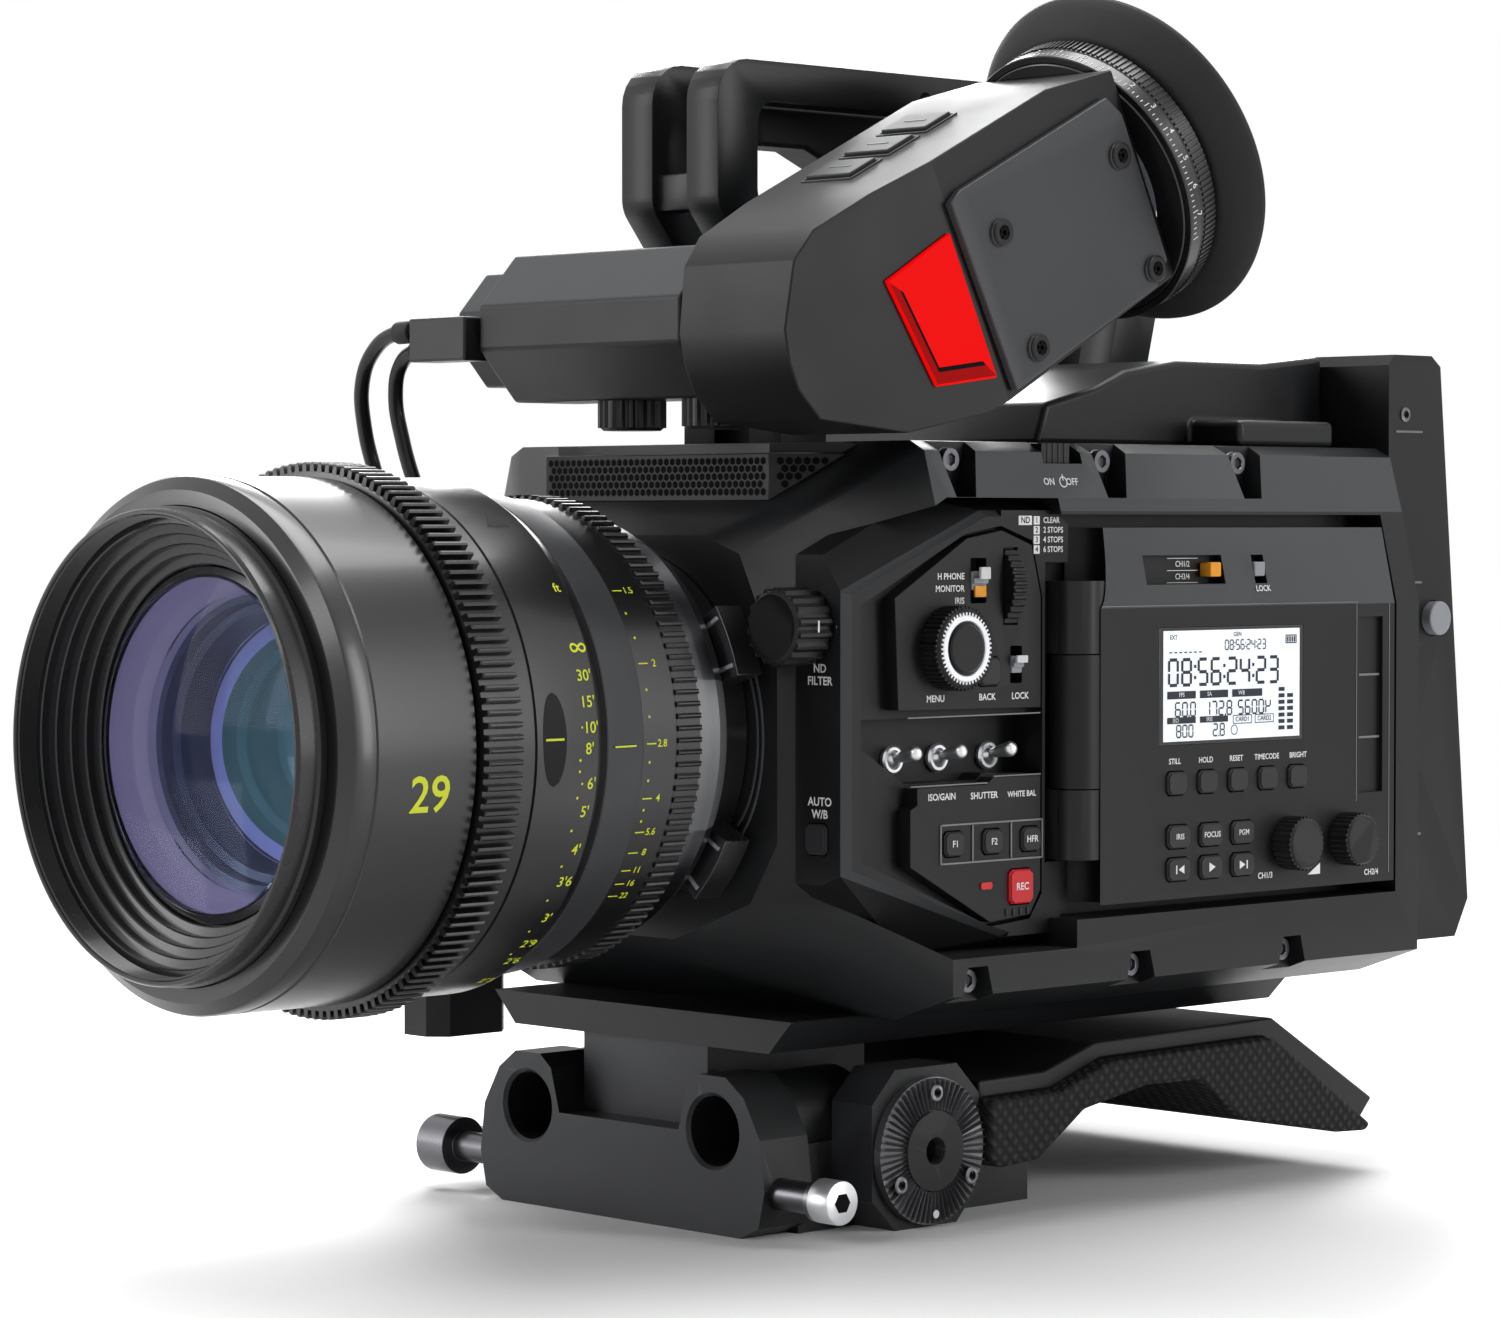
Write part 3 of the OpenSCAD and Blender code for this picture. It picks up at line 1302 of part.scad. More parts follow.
// The toothed rosette: a disc with a ring of radial ridges
module rosette() {
    color("#9a9da2") at_flange() translate([rosette_x - rosette_t, rosette_y, rosette_z]) rotate([0, 90, 0])
        difference() {
            union() {
                cylinder(h = rosette_t - rosette_tooth_h, r = rosette_d / 2);
                cylinder(h = rosette_t, r = rosette_hub_r);
                for (i = [0:rosette_teeth - 1]) rotate([0, 0, 360 * i / rosette_teeth]) rotate([90, 0, 90])
                    translate([0, 0, rosette_hub_r + slip]) linear_extrude(rosette_d / 2 - 2 * slip - rosette_hub_r)
                        polygon([[-rosette_tooth_w / 2, rosette_t - rosette_tooth_h - slice],
                            [rosette_tooth_w / 2, rosette_t - rosette_tooth_h - slice], [0, rosette_t]]);
            }
            translate([0, 0, -cut]) cylinder(h = rosette_t + 2 * cut, r = rosette_bore_r);
        }
}

// The arched plate under the body and its leg on the tray
module shoulder_plate() {
    tray_top = -base_low + tray_h;
    block_end = rosette_y + rosette_block_l / 2 + seat;
    color("#2b2d30") at_flange() {
        difference() {
            slab_x(-plate_half_w, 2 * plate_half_w)
                polygon(shifted(scaled(plate_shares, plate_l, base_low), plate_y, 0));
            translate([rosette_block_in_x - slice - seat, plate_y - cut, -base_low])
                cube([plate_half_w, block_end - plate_y + cut, base_low]);
        }
        translate([-tray_half_w, plate_y, tray_top])
            cube([2 * tray_half_w - seat - slice, plate_leg_l, -tray_top + plate_shares[9][1] * base_low + slice]);
    }
}

// The soft pad under the plate
module shoulder_pad() {
    color("#202124") at_flange() difference() {
        slab_x(-pad_w / 2, pad_w) polygon(shifted(scaled(pad_shares, plate_l, base_low), plate_y, 0));
        translate([-tray_half_w - seat, 0, -base_low]) cube([2 * tray_half_w + 2 * seat,
            clamp_front_y + clamp_l + tray_l + seat, base_low + plate_shares[7][1] * base_low]);
    }
}

lens_front_barrel();
filter_ring();
front_element();
lens_core();
focus_ring();
iris_ring();
mount_plate();
breech_ring();
chassis();
mic_grille();
top_deck();
control_bezel();
control_panel();
nd_knob();
awb_button();
selector_switch();
thumb_wheel();
menu_wheel();
back_button();
lock_switch();
toggle_iso();
toggle_shutter();
toggle_wb();
f1_key();
f2_key();
hfr_key();
rec_key();
power_switch();
monitor_door();
door_window();
channel_switch();
door_lock_switch();
status_keys();
transport_keys();
gain_knob_a();
gain_knob_b();
battery_plate();
battery_release();
case_screws();
top_handle();
handle_grip();
vf_rail();
vf_arm();
vf_knob_a();
vf_knob_b();
vf_housing();
vf_side_plate();
vf_tally();
vf_buttons();
vf_eyepiece();
vf_glass();
vf_diopter();
vf_eyecup();
vf_cable();
hand_grip();
base_block();
clamp_lever();
rosette();
shoulder_plate();
shoulder_pad();
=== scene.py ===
"""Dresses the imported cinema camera: finishes, fine shapes, lettering, light and the view."""

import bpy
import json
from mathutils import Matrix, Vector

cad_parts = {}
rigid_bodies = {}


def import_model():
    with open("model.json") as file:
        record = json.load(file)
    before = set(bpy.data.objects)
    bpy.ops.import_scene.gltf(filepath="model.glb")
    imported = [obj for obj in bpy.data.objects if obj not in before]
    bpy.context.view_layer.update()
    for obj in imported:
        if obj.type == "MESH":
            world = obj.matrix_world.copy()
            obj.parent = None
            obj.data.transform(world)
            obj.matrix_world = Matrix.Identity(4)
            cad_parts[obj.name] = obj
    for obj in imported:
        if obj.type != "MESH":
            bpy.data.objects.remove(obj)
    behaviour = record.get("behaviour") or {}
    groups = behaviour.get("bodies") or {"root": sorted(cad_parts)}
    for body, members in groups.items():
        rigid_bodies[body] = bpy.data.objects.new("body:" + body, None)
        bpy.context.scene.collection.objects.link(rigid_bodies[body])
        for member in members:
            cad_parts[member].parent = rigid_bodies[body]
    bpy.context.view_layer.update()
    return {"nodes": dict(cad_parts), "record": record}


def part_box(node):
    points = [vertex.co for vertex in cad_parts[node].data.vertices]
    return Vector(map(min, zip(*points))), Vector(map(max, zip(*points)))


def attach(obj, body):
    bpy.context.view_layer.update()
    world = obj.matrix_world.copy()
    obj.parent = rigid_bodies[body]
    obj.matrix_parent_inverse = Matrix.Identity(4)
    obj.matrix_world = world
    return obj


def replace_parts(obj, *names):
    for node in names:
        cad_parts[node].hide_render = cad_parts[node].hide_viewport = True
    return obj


bl_info = {
    "name": "Cinema camera dressing",
    "version": (1, 0, 0),
    "blender": (4, 5, 0),
    "location": "View3D > Sidebar > Camera",
    "description": "Builds the visible pieces and finishes of a digital cinema camera around its packed frame",
    "category": "Object",
}

import json
import math

import bmesh
import bpy
from bpy.props import FloatProperty, FloatVectorProperty, IntProperty, PointerProperty
from mathutils import Matrix, Vector

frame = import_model()

# The flange's centre on the optical axis, in millimetres of the frame
FLANGE = Vector((0.0, -32.0, 107.0))
MM = 0.001
TILT = math.radians(26.0)


def at(x, y, z):
    """A point given in millimetres from the lens flange, in metres of the frame."""
    return (Vector((x, y, z)) + FLANGE) * MM


def body_of(node):
    """The body that a node rides on."""
    for body, nodes in frame["record"]["behaviour"]["bodies"].items():
        if node in nodes:
            return body
    raise ValueError("no body holds " + node)


# Sizes and colours a user would change

class LensSettings(bpy.types.PropertyGroup):
    """Finish of the lens."""
    scale_colour: FloatVectorProperty(name="Scale paint", description="Colour of the distance and iris scales",
                                      default=(0.60, 0.66, 0.03), subtype="COLOR", min=0.0, max=1.0)
    black: FloatVectorProperty(name="Barrel", description="Colour of the anodised barrel",
                               default=(0.0040, 0.0040, 0.0044), subtype="COLOR", min=0.0, max=1.0)
    steps: IntProperty(name="Turning steps", description="Facets round a turned piece", default=144, min=48, max=256)


class BodySettings(bpy.types.PropertyGroup):
    """Finish of the body, the handle and the base."""
    shell: FloatVectorProperty(name="Shell", description="Colour of the cast shell",
                               default=(0.0075, 0.0080, 0.0090), subtype="COLOR", min=0.0, max=1.0)
    edge: FloatProperty(name="Edge rounding", description="Width of the rounding on the edges of housings",
                        default=0.0007, min=0.0001, max=0.002, unit="LENGTH")
    small_edge: FloatProperty(name="Key rounding", description="Width of the rounding on keys and knobs",
                              default=0.0003, min=0.00005, max=0.001, unit="LENGTH")


class LabelSettings(bpy.types.PropertyGroup):
    """Finish of the lettering."""
    ink: FloatVectorProperty(name="Ink", description="Colour of the plain lettering",
                             default=(0.72, 0.72, 0.72), subtype="COLOR", min=0.0, max=1.0)
    lift: FloatProperty(name="Lift", description="Height of the lettering above its face",
                        default=0.00006, min=0.00001, max=0.0005, unit="LENGTH")


class StageSettings(bpy.types.PropertyGroup):
    """Light and background."""
    floor: FloatVectorProperty(name="Floor", description="Colour of the floor", default=(0.92, 0.92, 0.92),
                               subtype="COLOR", min=0.0, max=1.0)
    key_power: FloatProperty(name="Key light", description="Power of the large soft light", default=22.0,
                             min=0.0, max=400.0, unit="POWER")


# Finishes

FINISHES = {}


def new_material(name):
    """An empty node material with its shader and output."""
    material = bpy.data.materials.new(name)
    material.use_nodes = True
    nodes = material.node_tree.nodes
    nodes.clear()
    out = nodes.new("ShaderNodeOutputMaterial")
    shader = nodes.new("ShaderNodeBsdfPrincipled")
    material.node_tree.links.new(shader.outputs[0], out.inputs[0])
    return material, nodes, material.node_tree.links, shader


def finish(name, colour, rough, metal=0.0, grain=(1600.0, 0.25), tone=0.25, rough_spread=0.08, wear=0.0,
           coat=0.0, specular=0.22, stretch=(1.0, 1.0, 1.0)):
    """A finish with fine grain, drifting tone and roughness, and edges worn lighter."""
    if name in FINISHES:
        return FINISHES[name]
    material, nodes, links, shader = new_material(name)
    shader.inputs["Metallic"].default_value = metal
    shader.inputs["Specular IOR Level"].default_value = specular
    shader.inputs["Coat Weight"].default_value = coat
    shader.inputs["Coat Roughness"].default_value = 0.12
    coords = nodes.new("ShaderNodeTexCoord")
    mapping = nodes.new("ShaderNodeMapping")
    mapping.inputs["Scale"].default_value = stretch
    links.new(coords.outputs["Object"], mapping.inputs["Vector"])
    fine = nodes.new("ShaderNodeTexNoise")
    fine.inputs["Scale"].default_value = grain[0]
    fine.inputs["Detail"].default_value = 2.0
    links.new(mapping.outputs[0], fine.inputs["Vector"])
    bump = nodes.new("ShaderNodeBump")
    bump.inputs["Strength"].default_value = grain[1]
    bump.inputs["Distance"].default_value = 0.0001
    links.new(fine.outputs["Fac"], bump.inputs["Height"])
    links.new(bump.outputs[0], shader.inputs["Normal"])
    drift = nodes.new("ShaderNodeTexNoise")
    drift.inputs["Scale"].default_value = 45.0
    drift.inputs["Detail"].default_value = 5.0
    links.new(mapping.outputs[0], drift.inputs["Vector"])
    mix = nodes.new("ShaderNodeMix")
    mix.data_type = "RGBA"
    mix.inputs["A"].default_value = (*[c * (1 - tone) for c in colour], 1.0)
    mix.inputs["B"].default_value = (*[min(1.0, c * (1 + tone)) for c in colour], 1.0)
    links.new(drift.outputs["Fac"], mix.inputs["Factor"])
    last = mix.outputs["Result"]
    if wear:
        geometry = nodes.new("ShaderNodeNewGeometry")
        ramp = nodes.new("ShaderNodeMapRange")
        ramp.inputs["From Min"].default_value = 0.52
        ramp.inputs["From Max"].default_value = 0.62
        ramp.inputs["To Max"].default_value = wear
        links.new(geometry.outputs["Pointiness"], ramp.inputs["Value"])
        edge = nodes.new("ShaderNodeMix")
        edge.data_type = "RGBA"
        edge.inputs["B"].default_value = (*[min(1.0, c * 3.0 + 0.03) for c in colour], 1.0)
        links.new(ramp.outputs[0], edge.inputs["Factor"])
        links.new(last, edge.inputs["A"])
        last = edge.outputs["Result"]
    links.new(last, shader.inputs["Base Color"])
    span = nodes.new("ShaderNodeMapRange")
    span.inputs["To Min"].default_value = max(0.02, rough - rough_spread)
    span.inputs["To Max"].default_value = min(1.0, rough + rough_spread)
    links.new(drift.outputs["Fac"], span.inputs["Value"])
    links.new(span.outputs[0], shader.inputs["Roughness"])
    FINISHES[name] = material
    return material


def glowing(name, colour, strength):
    """A lit surface, such as a display's white or a signal lamp, with a faint drift of brightness."""
    if name in FINISHES:
        return FINISHES[name]
    material = finish(name, colour, 0.35, grain=(900.0, 0.05), tone=0.06)
    shader = next(n for n in material.node_tree.nodes if n.type == "BSDF_PRINCIPLED")
    shader.inputs["Emission Color"].default_value = (*colour, 1.0)
    shader.inputs["Emission Strength"].default_value = strength
    return material


def glassy(name, tint, rough=0.0, ior=1.5, alpha=1.0):
    """Clear glass, a little tinted and with faint dust."""
    if name in FINISHES:
        return FINISHES[name]
    material = finish(name, tint, max(rough, 0.02), grain=(300.0, 0.01), tone=0.02, rough_spread=0.01)
    shader = next(n for n in material.node_tree.nodes if n.type == "BSDF_PRINCIPLED")
    shader.inputs["Transmission Weight"].default_value = 1.0
    shader.inputs["IOR"].default_value = ior
    shader.inputs["Alpha"].default_value = alpha
    return material


def lens_black():
    """Anodised black of the lens."""
    return finish("lens_black", tuple(bpy.context.scene.camera_lens.black), 0.30, grain=(2600.0, 0.06), tone=0.10,
                  rough_spread=0.03, specular=0.5, coat=0.15)


def shell_black():
    """Fine-grained black of the cast shell."""
    return finish("shell_black", tuple(bpy.context.scene.camera_body.shell), 0.36, grain=(2300.0, 0.22), tone=0.12,
                  rough_spread=0.05, wear=0.25)


def panel_black():
    """Painted black of the panels."""
    return finish("panel_black", (0.0048, 0.0050, 0.0056), 0.42, grain=(3000.0, 0.12), tone=0.12, wear=0.15)


def band_grey():
    """Lighter grey of the painted bands, also laid on upward faces as a painted highlight."""
    return finish("band_grey", (0.045, 0.047, 0.051), 0.45, grain=(2600.0, 0.18), tone=0.10, wear=0.15)


def dark_alloy():
    """Dark coated alloy."""
    return finish("dark_alloy", (0.012, 0.0125, 0.0135), 0.38, metal=0.2, grain=(2400.0, 0.15), tone=0.15, wear=0.3)


def key_grey():
    """Moulded grey of the keys."""
    return finish("key_grey", (0.016, 0.0165, 0.018), 0.48, grain=(3200.0, 0.10), tone=0.08, wear=0.2)


def knob_black():
    """Smooth black of the knobs."""
    return finish("knob_black", (0.0050, 0.0050, 0.0056), 0.32, grain=(2500.0, 0.06), tone=0.1, wear=0.35)


def soft_black():
    """Dull rubber black."""
    return finish("soft_black", (0.0055, 0.0055, 0.0058), 0.68, grain=(1900.0, 0.25), tone=0.15, specular=0.35)


def bright_steel():
    """Bright turned steel."""
    return finish("bright_steel", (0.72, 0.73, 0.75), 0.30, metal=0.85, grain=(2000.0, 0.04), tone=0.08,
                  rough_spread=0.06)


def dark_steel():
    """Blackened steel."""
    return finish("dark_steel", (0.12, 0.12, 0.13), 0.30, metal=1.0, grain=(2200.0, 0.06), tone=0.15, wear=0.4)


def void_black():
    """Flat black laid in sockets, holes, vents and gaps as painted shade, also used for dark print and seam lines."""
    return finish("void_black", (0.002, 0.002, 0.002), 0.85, grain=(800.0, 0.02), tone=0.1, specular=0.1)


def ink_white():
    """White printing ink."""
    return finish("ink_white", tuple(bpy.context.scene.camera_labels.ink), 0.6, grain=(2500.0, 0.02), tone=0.04)


def ink_scale():
    """Yellow paint of the lens scales."""
    return finish("ink_scale", tuple(bpy.context.scene.camera_lens.scale_colour), 0.55, grain=(2500.0, 0.02), tone=0.05)


# Making pieces

def place(bm, name, material, body, smooth=40.0):
    """Turns a bmesh into a piece that rides on a body."""
    mesh = bpy.data.meshes.new(name)
    bm.normal_update()
    bm.to_mesh(mesh)
    bm.free()
    piece = bpy.data.objects.new(name, mesh)
    bpy.context.scene.collection.objects.link(piece)
    for m in material if isinstance(material, (list, tuple)) else [material]:
        mesh.materials.append(m)
    mesh.shade_smooth()
    mesh.set_sharp_from_angle(angle=math.radians(smooth))
    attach(piece, body)
    return piece


def merged(node):
    """A bmesh of a node's mesh, with its loose triangles joined and flat faces cleaned."""
    bm = bmesh.new()
    bm.from_mesh(frame["nodes"][node].data)
    bmesh.ops.transform(bm, matrix=frame["nodes"][node].matrix_world, verts=bm.verts)
    bmesh.ops.remove_doubles(bm, verts=bm.verts, dist=2e-6)
    bmesh.ops.dissolve_limit(bm, angle_limit=math.radians(0.6), verts=bm.verts, edges=bm.edges,
                             use_dissolve_boundaries=False, delimit=set())
    return bm


def rounded(node, material, width=None, segments=2, angle=28.0, smooth=40.0):
    """A copy of a node with rounded edges, which stands for the node."""
    if width is None:
        width = bpy.context.scene.camera_body.edge
    piece = place(merged(node), node + "_body", material, body_of(node), smooth)
    if width > 0.0:
        bevel = piece.modifiers.new("edges", "BEVEL")
        bevel.width = width
        bevel.segments = segments
        bevel.limit_method = "ANGLE"
        bevel.angle_limit = math.radians(angle)
        bevel.use_clamp_overlap = True
        bevel.miter_outer = "MITER_ARC"
        flat = piece.modifiers.new("flat_faces", "WEIGHTED_NORMAL")
        flat.weight = 100
        flat.keep_sharp = True
    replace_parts(piece, node)
    return piece


def turned(profile, frame_of, steps=None, close=False):
    """A bmesh turned from a profile of (radius, station) in millimetres. frame_of maps (x, y, z) about the
    axis, with z the station, to the frame in metres. A radius of 0 closes on the axis."""
    if steps is None:
        steps = bpy.context.scene.camera_lens.steps
    bm = bmesh.new()
    verts = [bm.verts.new((r, 0.0, s)) for r, s in profile]
    edges = [bm.edges.new((a, b)) for a, b in zip(verts, verts[1:])]
    if close:
        edges.append(bm.edges.new((verts[-1], verts[0])))
    bmesh.ops.spin(bm, geom=verts + edges, cent=(0, 0, 0), axis=(0, 0, 1), angle=math.tau, steps=steps,
                   use_merge=True, use_duplicate=False)
    bmesh.ops.remove_doubles(bm, verts=bm.verts, dist=1e-5)
    bmesh.ops.recalc_face_normals(bm, faces=bm.faces)
    for v in bm.verts:
        v.co = frame_of(v.co.x, v.co.y, v.co.z)
    if Matrix([frame_of(*p) - frame_of(0, 0, 0) for p in ((1, 0, 0), (0, 1, 0), (0, 0, 1))]).determinant() < 0:
        bmesh.ops.reverse_faces(bm, faces=bm.faces)
    return bm


def lens_axis(x, y, z):
    """Stations ahead of the flange, as on the drawing of the lens."""
    return at(x, -z, y)


def eye_axis(x, y, z):
    """Stations behind the tilt pivot, along the eyepiece's axis."""
    up, back = -9.0 + y, z
    return at(60.0 - x, 2.0 + back * math.cos(TILT) - up * math.sin(TILT),
              87.0 + back * math.sin(TILT) + up * math.cos(TILT))


def pivot_frame(x, y, z):
    """A point of the tilted viewfinder, about its pivot."""
    return at(x, 2.0 + y * math.cos(TILT) - z * math.sin(TILT), 87.0 + y * math.sin(TILT) + z * math.cos(TILT))


def plain_frame(x, y, z):
    """The part's own directions, about the flange."""
    return at(x, y, z)


def join_into(bm, other):
    """Adds another bmesh to this one."""
    mesh = bpy.data.meshes.new("joined")
    other.to_mesh(mesh)
    other.free()
    bm.from_mesh(mesh)
    bpy.data.meshes.remove(mesh)
    return bm


def block(bm, centre, size, frame_of=plain_frame, bevel=0.0, segments=2, turn=None):
    """Adds a block with rounded edges, in millimetres, to a bmesh."""
    part = bmesh.new()
    bmesh.ops.create_cube(part, size=1.0)
    bmesh.ops.scale(part, vec=size, verts=part.verts)
    if bevel:
        bmesh.ops.bevel(part, geom=part.edges[:], offset=bevel, segments=segments, profile=0.5,
                        affect="EDGES", material=-1, clamp_overlap=True)
    if turn:
        bmesh.ops.rotate(part, cent=(0, 0, 0), matrix=turn, verts=part.verts)
    for v in part.verts:
        v.co = frame_of(*(v.co + Vector(centre)))
    return join_into(bm, part)


def rod(bm, start, end, radius, frame_of=plain_frame, sides=32, bevel=0.0, radius_end=None):
    """Adds a round bar between two points, in millimetres, to a bmesh."""
    a, b = Vector(start), Vector(end)
    part = bmesh.new()
    bmesh.ops.create_cone(part, cap_ends=True, segments=sides, radius1=radius,
                          radius2=radius if radius_end is None else radius_end, depth=(b - a).length)
    if bevel:
        rims = [e for e in part.edges if all(abs(v.co.z - e.verts[0].co.z) < 1e-6 for v in e.verts)]
        bmesh.ops.bevel(part, geom=rims, offset=bevel, segments=2, profile=0.5, affect="EDGES", material=-1,
                        clamp_overlap=True)
    turn = Vector((0, 0, 1)).rotation_difference(b - a).to_matrix()
    bmesh.ops.rotate(part, cent=(0, 0, 0), matrix=turn, verts=part.verts)
    for v in part.verts:
        v.co = frame_of(*(v.co + (a + b) / 2))
    return join_into(bm, part)


def slab(bm, outline, low, high, axes="yzx", frame_of=plain_frame, bevel=0.0, segments=2):
    """Adds a plate: an outline in two axes and a thickness along the third, in millimetres."""
    part = bmesh.new()
    spots = []
    for a, b in outline:
        p = [0.0, 0.0, 0.0]
        p["xyz".index(axes[0])], p["xyz".index(axes[1])], p["xyz".index(axes[2])] = a, b, low
        spots.append(part.verts.new(p))
    face = part.faces.new(spots)
    push = [0.0, 0.0, 0.0]
    push["xyz".index(axes[2])] = high - low
    grown = bmesh.ops.extrude_face_region(part, geom=[face])
    bmesh.ops.translate(part, vec=push, verts=[g for g in grown["geom"] if isinstance(g, bmesh.types.BMVert)])
    bmesh.ops.recalc_face_normals(part, faces=part.faces)
    if bevel:
        bmesh.ops.bevel(part, geom=part.edges[:], offset=bevel, segments=segments, profile=0.5, affect="EDGES",
                        material=-1, clamp_overlap=True)
    for v in part.verts:
        v.co = frame_of(*v.co)
    return join_into(bm, part)


# Lettering

def letters(text, size, heavy=0.0, align="CENTER", spacing=1.0):
    """Flat lettering as a bmesh in millimetres, reading along X with Y up."""
    curve = bpy.data.curves.new("letters", "FONT")
    curve.body = text
    curve.size = size
    curve.align_x = align
    curve.align_y = "CENTER"
    curve.offset = heavy
    curve.space_character = spacing
    curve.resolution_u = 3
    writer = bpy.data.objects.new("letters", curve)
    bpy.context.scene.collection.objects.link(writer)
    bpy.context.view_layer.update()
    mesh = writer.evaluated_get(bpy.context.evaluated_depsgraph_get()).to_mesh()
    bm = bmesh.new()
    bm.from_mesh(mesh)
    writer.evaluated_get(bpy.context.evaluated_depsgraph_get()).to_mesh_clear()
    bpy.data.objects.remove(writer)
    bpy.data.curves.remove(curve)
    return bm


def write_on(bm, text, size, frame_of, heavy=0.0, align="CENTER", turn=0.0, spacing=1.0):
    """Adds lettering to a bmesh, laid on a face by frame_of(across, up, out) in millimetres."""
    part = letters(text, size, heavy, align, spacing)
    if turn:
        bmesh.ops.rotate(part, cent=(0, 0, 0), matrix=Matrix.Rotation(math.radians(turn), 3, "Z"), verts=part.verts)
    lift = bpy.context.scene.camera_labels.lift / MM
    for v in part.verts:
        v.co = frame_of(v.co.x, v.co.y, lift)
    return join_into(bm, part)


def mark_on(bm, outline, frame_of):
    """Adds a flat printed shape, an outline of (across, up) points in millimetres."""
    part = bmesh.new()
    lift = bpy.context.scene.camera_labels.lift / MM
    part.faces.new([part.verts.new(frame_of(u, v, lift)) for u, v in outline])
    return join_into(bm, part)


def bar_mark(bm, across, up, width, height, frame_of):
    """Adds a printed bar."""
    w, h = width / 2, height / 2
    return mark_on(bm, [(across - w, up - h), (across + w, up - h), (across + w, up + h), (across - w, up + h)],
                   frame_of)


def lens_skin(radius_of, angle, station):
    """A face wrapped on the lens at an angle up from +X towards +Z: across runs round the lens, reading
    from the operator's side with the front at the left, and up runs round it."""
    def place_point(across, up, out):
        s = station - across
        r = radius_of(s) + out
        a = math.radians(angle) + up / r
        return at(r * math.cos(a), -s, r * math.sin(a))
    return place_point


# The lens

# The coated glass bends light less than bare glass, so that the lamps' reflections stay as faint as a coating's
COATING_INDEX = 1.12

# The rosette's centre on the side of the base, and the circle of its screws
ROSETTE_Y, ROSETTE_Z = 44.6, -90.4
ROSETTE_SCREW_CIRCLE = 12.6


def barrel_radius(s):
    """Radius of the barrel and the focus ring's sleeve at a station."""
    return 54.0 if s > 50.0 else 52.0 + (s - 46.0) * 0.4


def make_barrel():
    """The front barrel, its front ring, the stepped baffles and the filter thread."""
    profile = [(49.0, 81.4), (53.2, 81.4), (54.0, 82.0), (54.0, 106.4), (53.6, 106.7), (53.6, 107.3), (54.0, 107.6),
               (54.0, 111.6), (53.7, 112.3), (51.2, 114.2), (50.6, 114.3), (48.2, 114.3), (48.2, 104.2), (49.0, 103.0)]
    bm = turned(profile, lens_axis, close=True)
    piece = place(bm, "lens_front_barrel_body", lens_black(), "body", 24)
    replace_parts(piece, "lens_front_barrel")
    rim = [(48.0, 104.4), (48.0, 115.8), (47.5, 116.4), (47.5, 120.3), (47.2, 120.8), (46.9, 121.0), (46.4, 121.0),
           (46.15, 120.7)]
    for i in range(9):
        s = 120.4 - i * 0.5
        rim += [(46.15, s), (45.75, s - 0.25)]
    rim += [(46.1, 116.0)]
    for i in range(5):
        r = 44.3 - i * 2.0
        rim += [(r + 0.25, 116.0 - i * 2.3), (r, 115.7 - i * 2.3), (r, 113.95 - i * 2.3)]
    rim += [(34.6, 104.6), (34.6, 104.4)]
    bm = turned(rim, lens_axis, close=True)
    ring = place(bm, "filter_ring_body", finish("front_ring_black", (0.016, 0.0165, 0.018), 0.27, grain=(2600, 0.05),
                                                tone=0.1, coat=0.3), "body", 18)
    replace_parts(ring, "filter_ring")
    bm = turned([(36.3, 104.6), (35.8, 106.2), (34.4, 106.9), (33.6, 106.5), (33.6, 104.6)], lens_axis)
    place(bm, "glass_retainer", finish("retainer_grey", (0.05, 0.05, 0.055), 0.25, metal=0.6, grain=(2000, 0.05)),
          "body", 24)


def coated_glass(name, tint, film, strength=0.12):
    """Coated glass: clear, with a coloured film of the given strength in its reflections."""
    material = glassy(name, tint, 0.0, COATING_INDEX)
    shader = next(n for n in material.node_tree.nodes if n.type == "BSDF_PRINCIPLED")
    shader.inputs["Specular Tint"].default_value = (*(strength * part for part in film), 1.0)
    return material


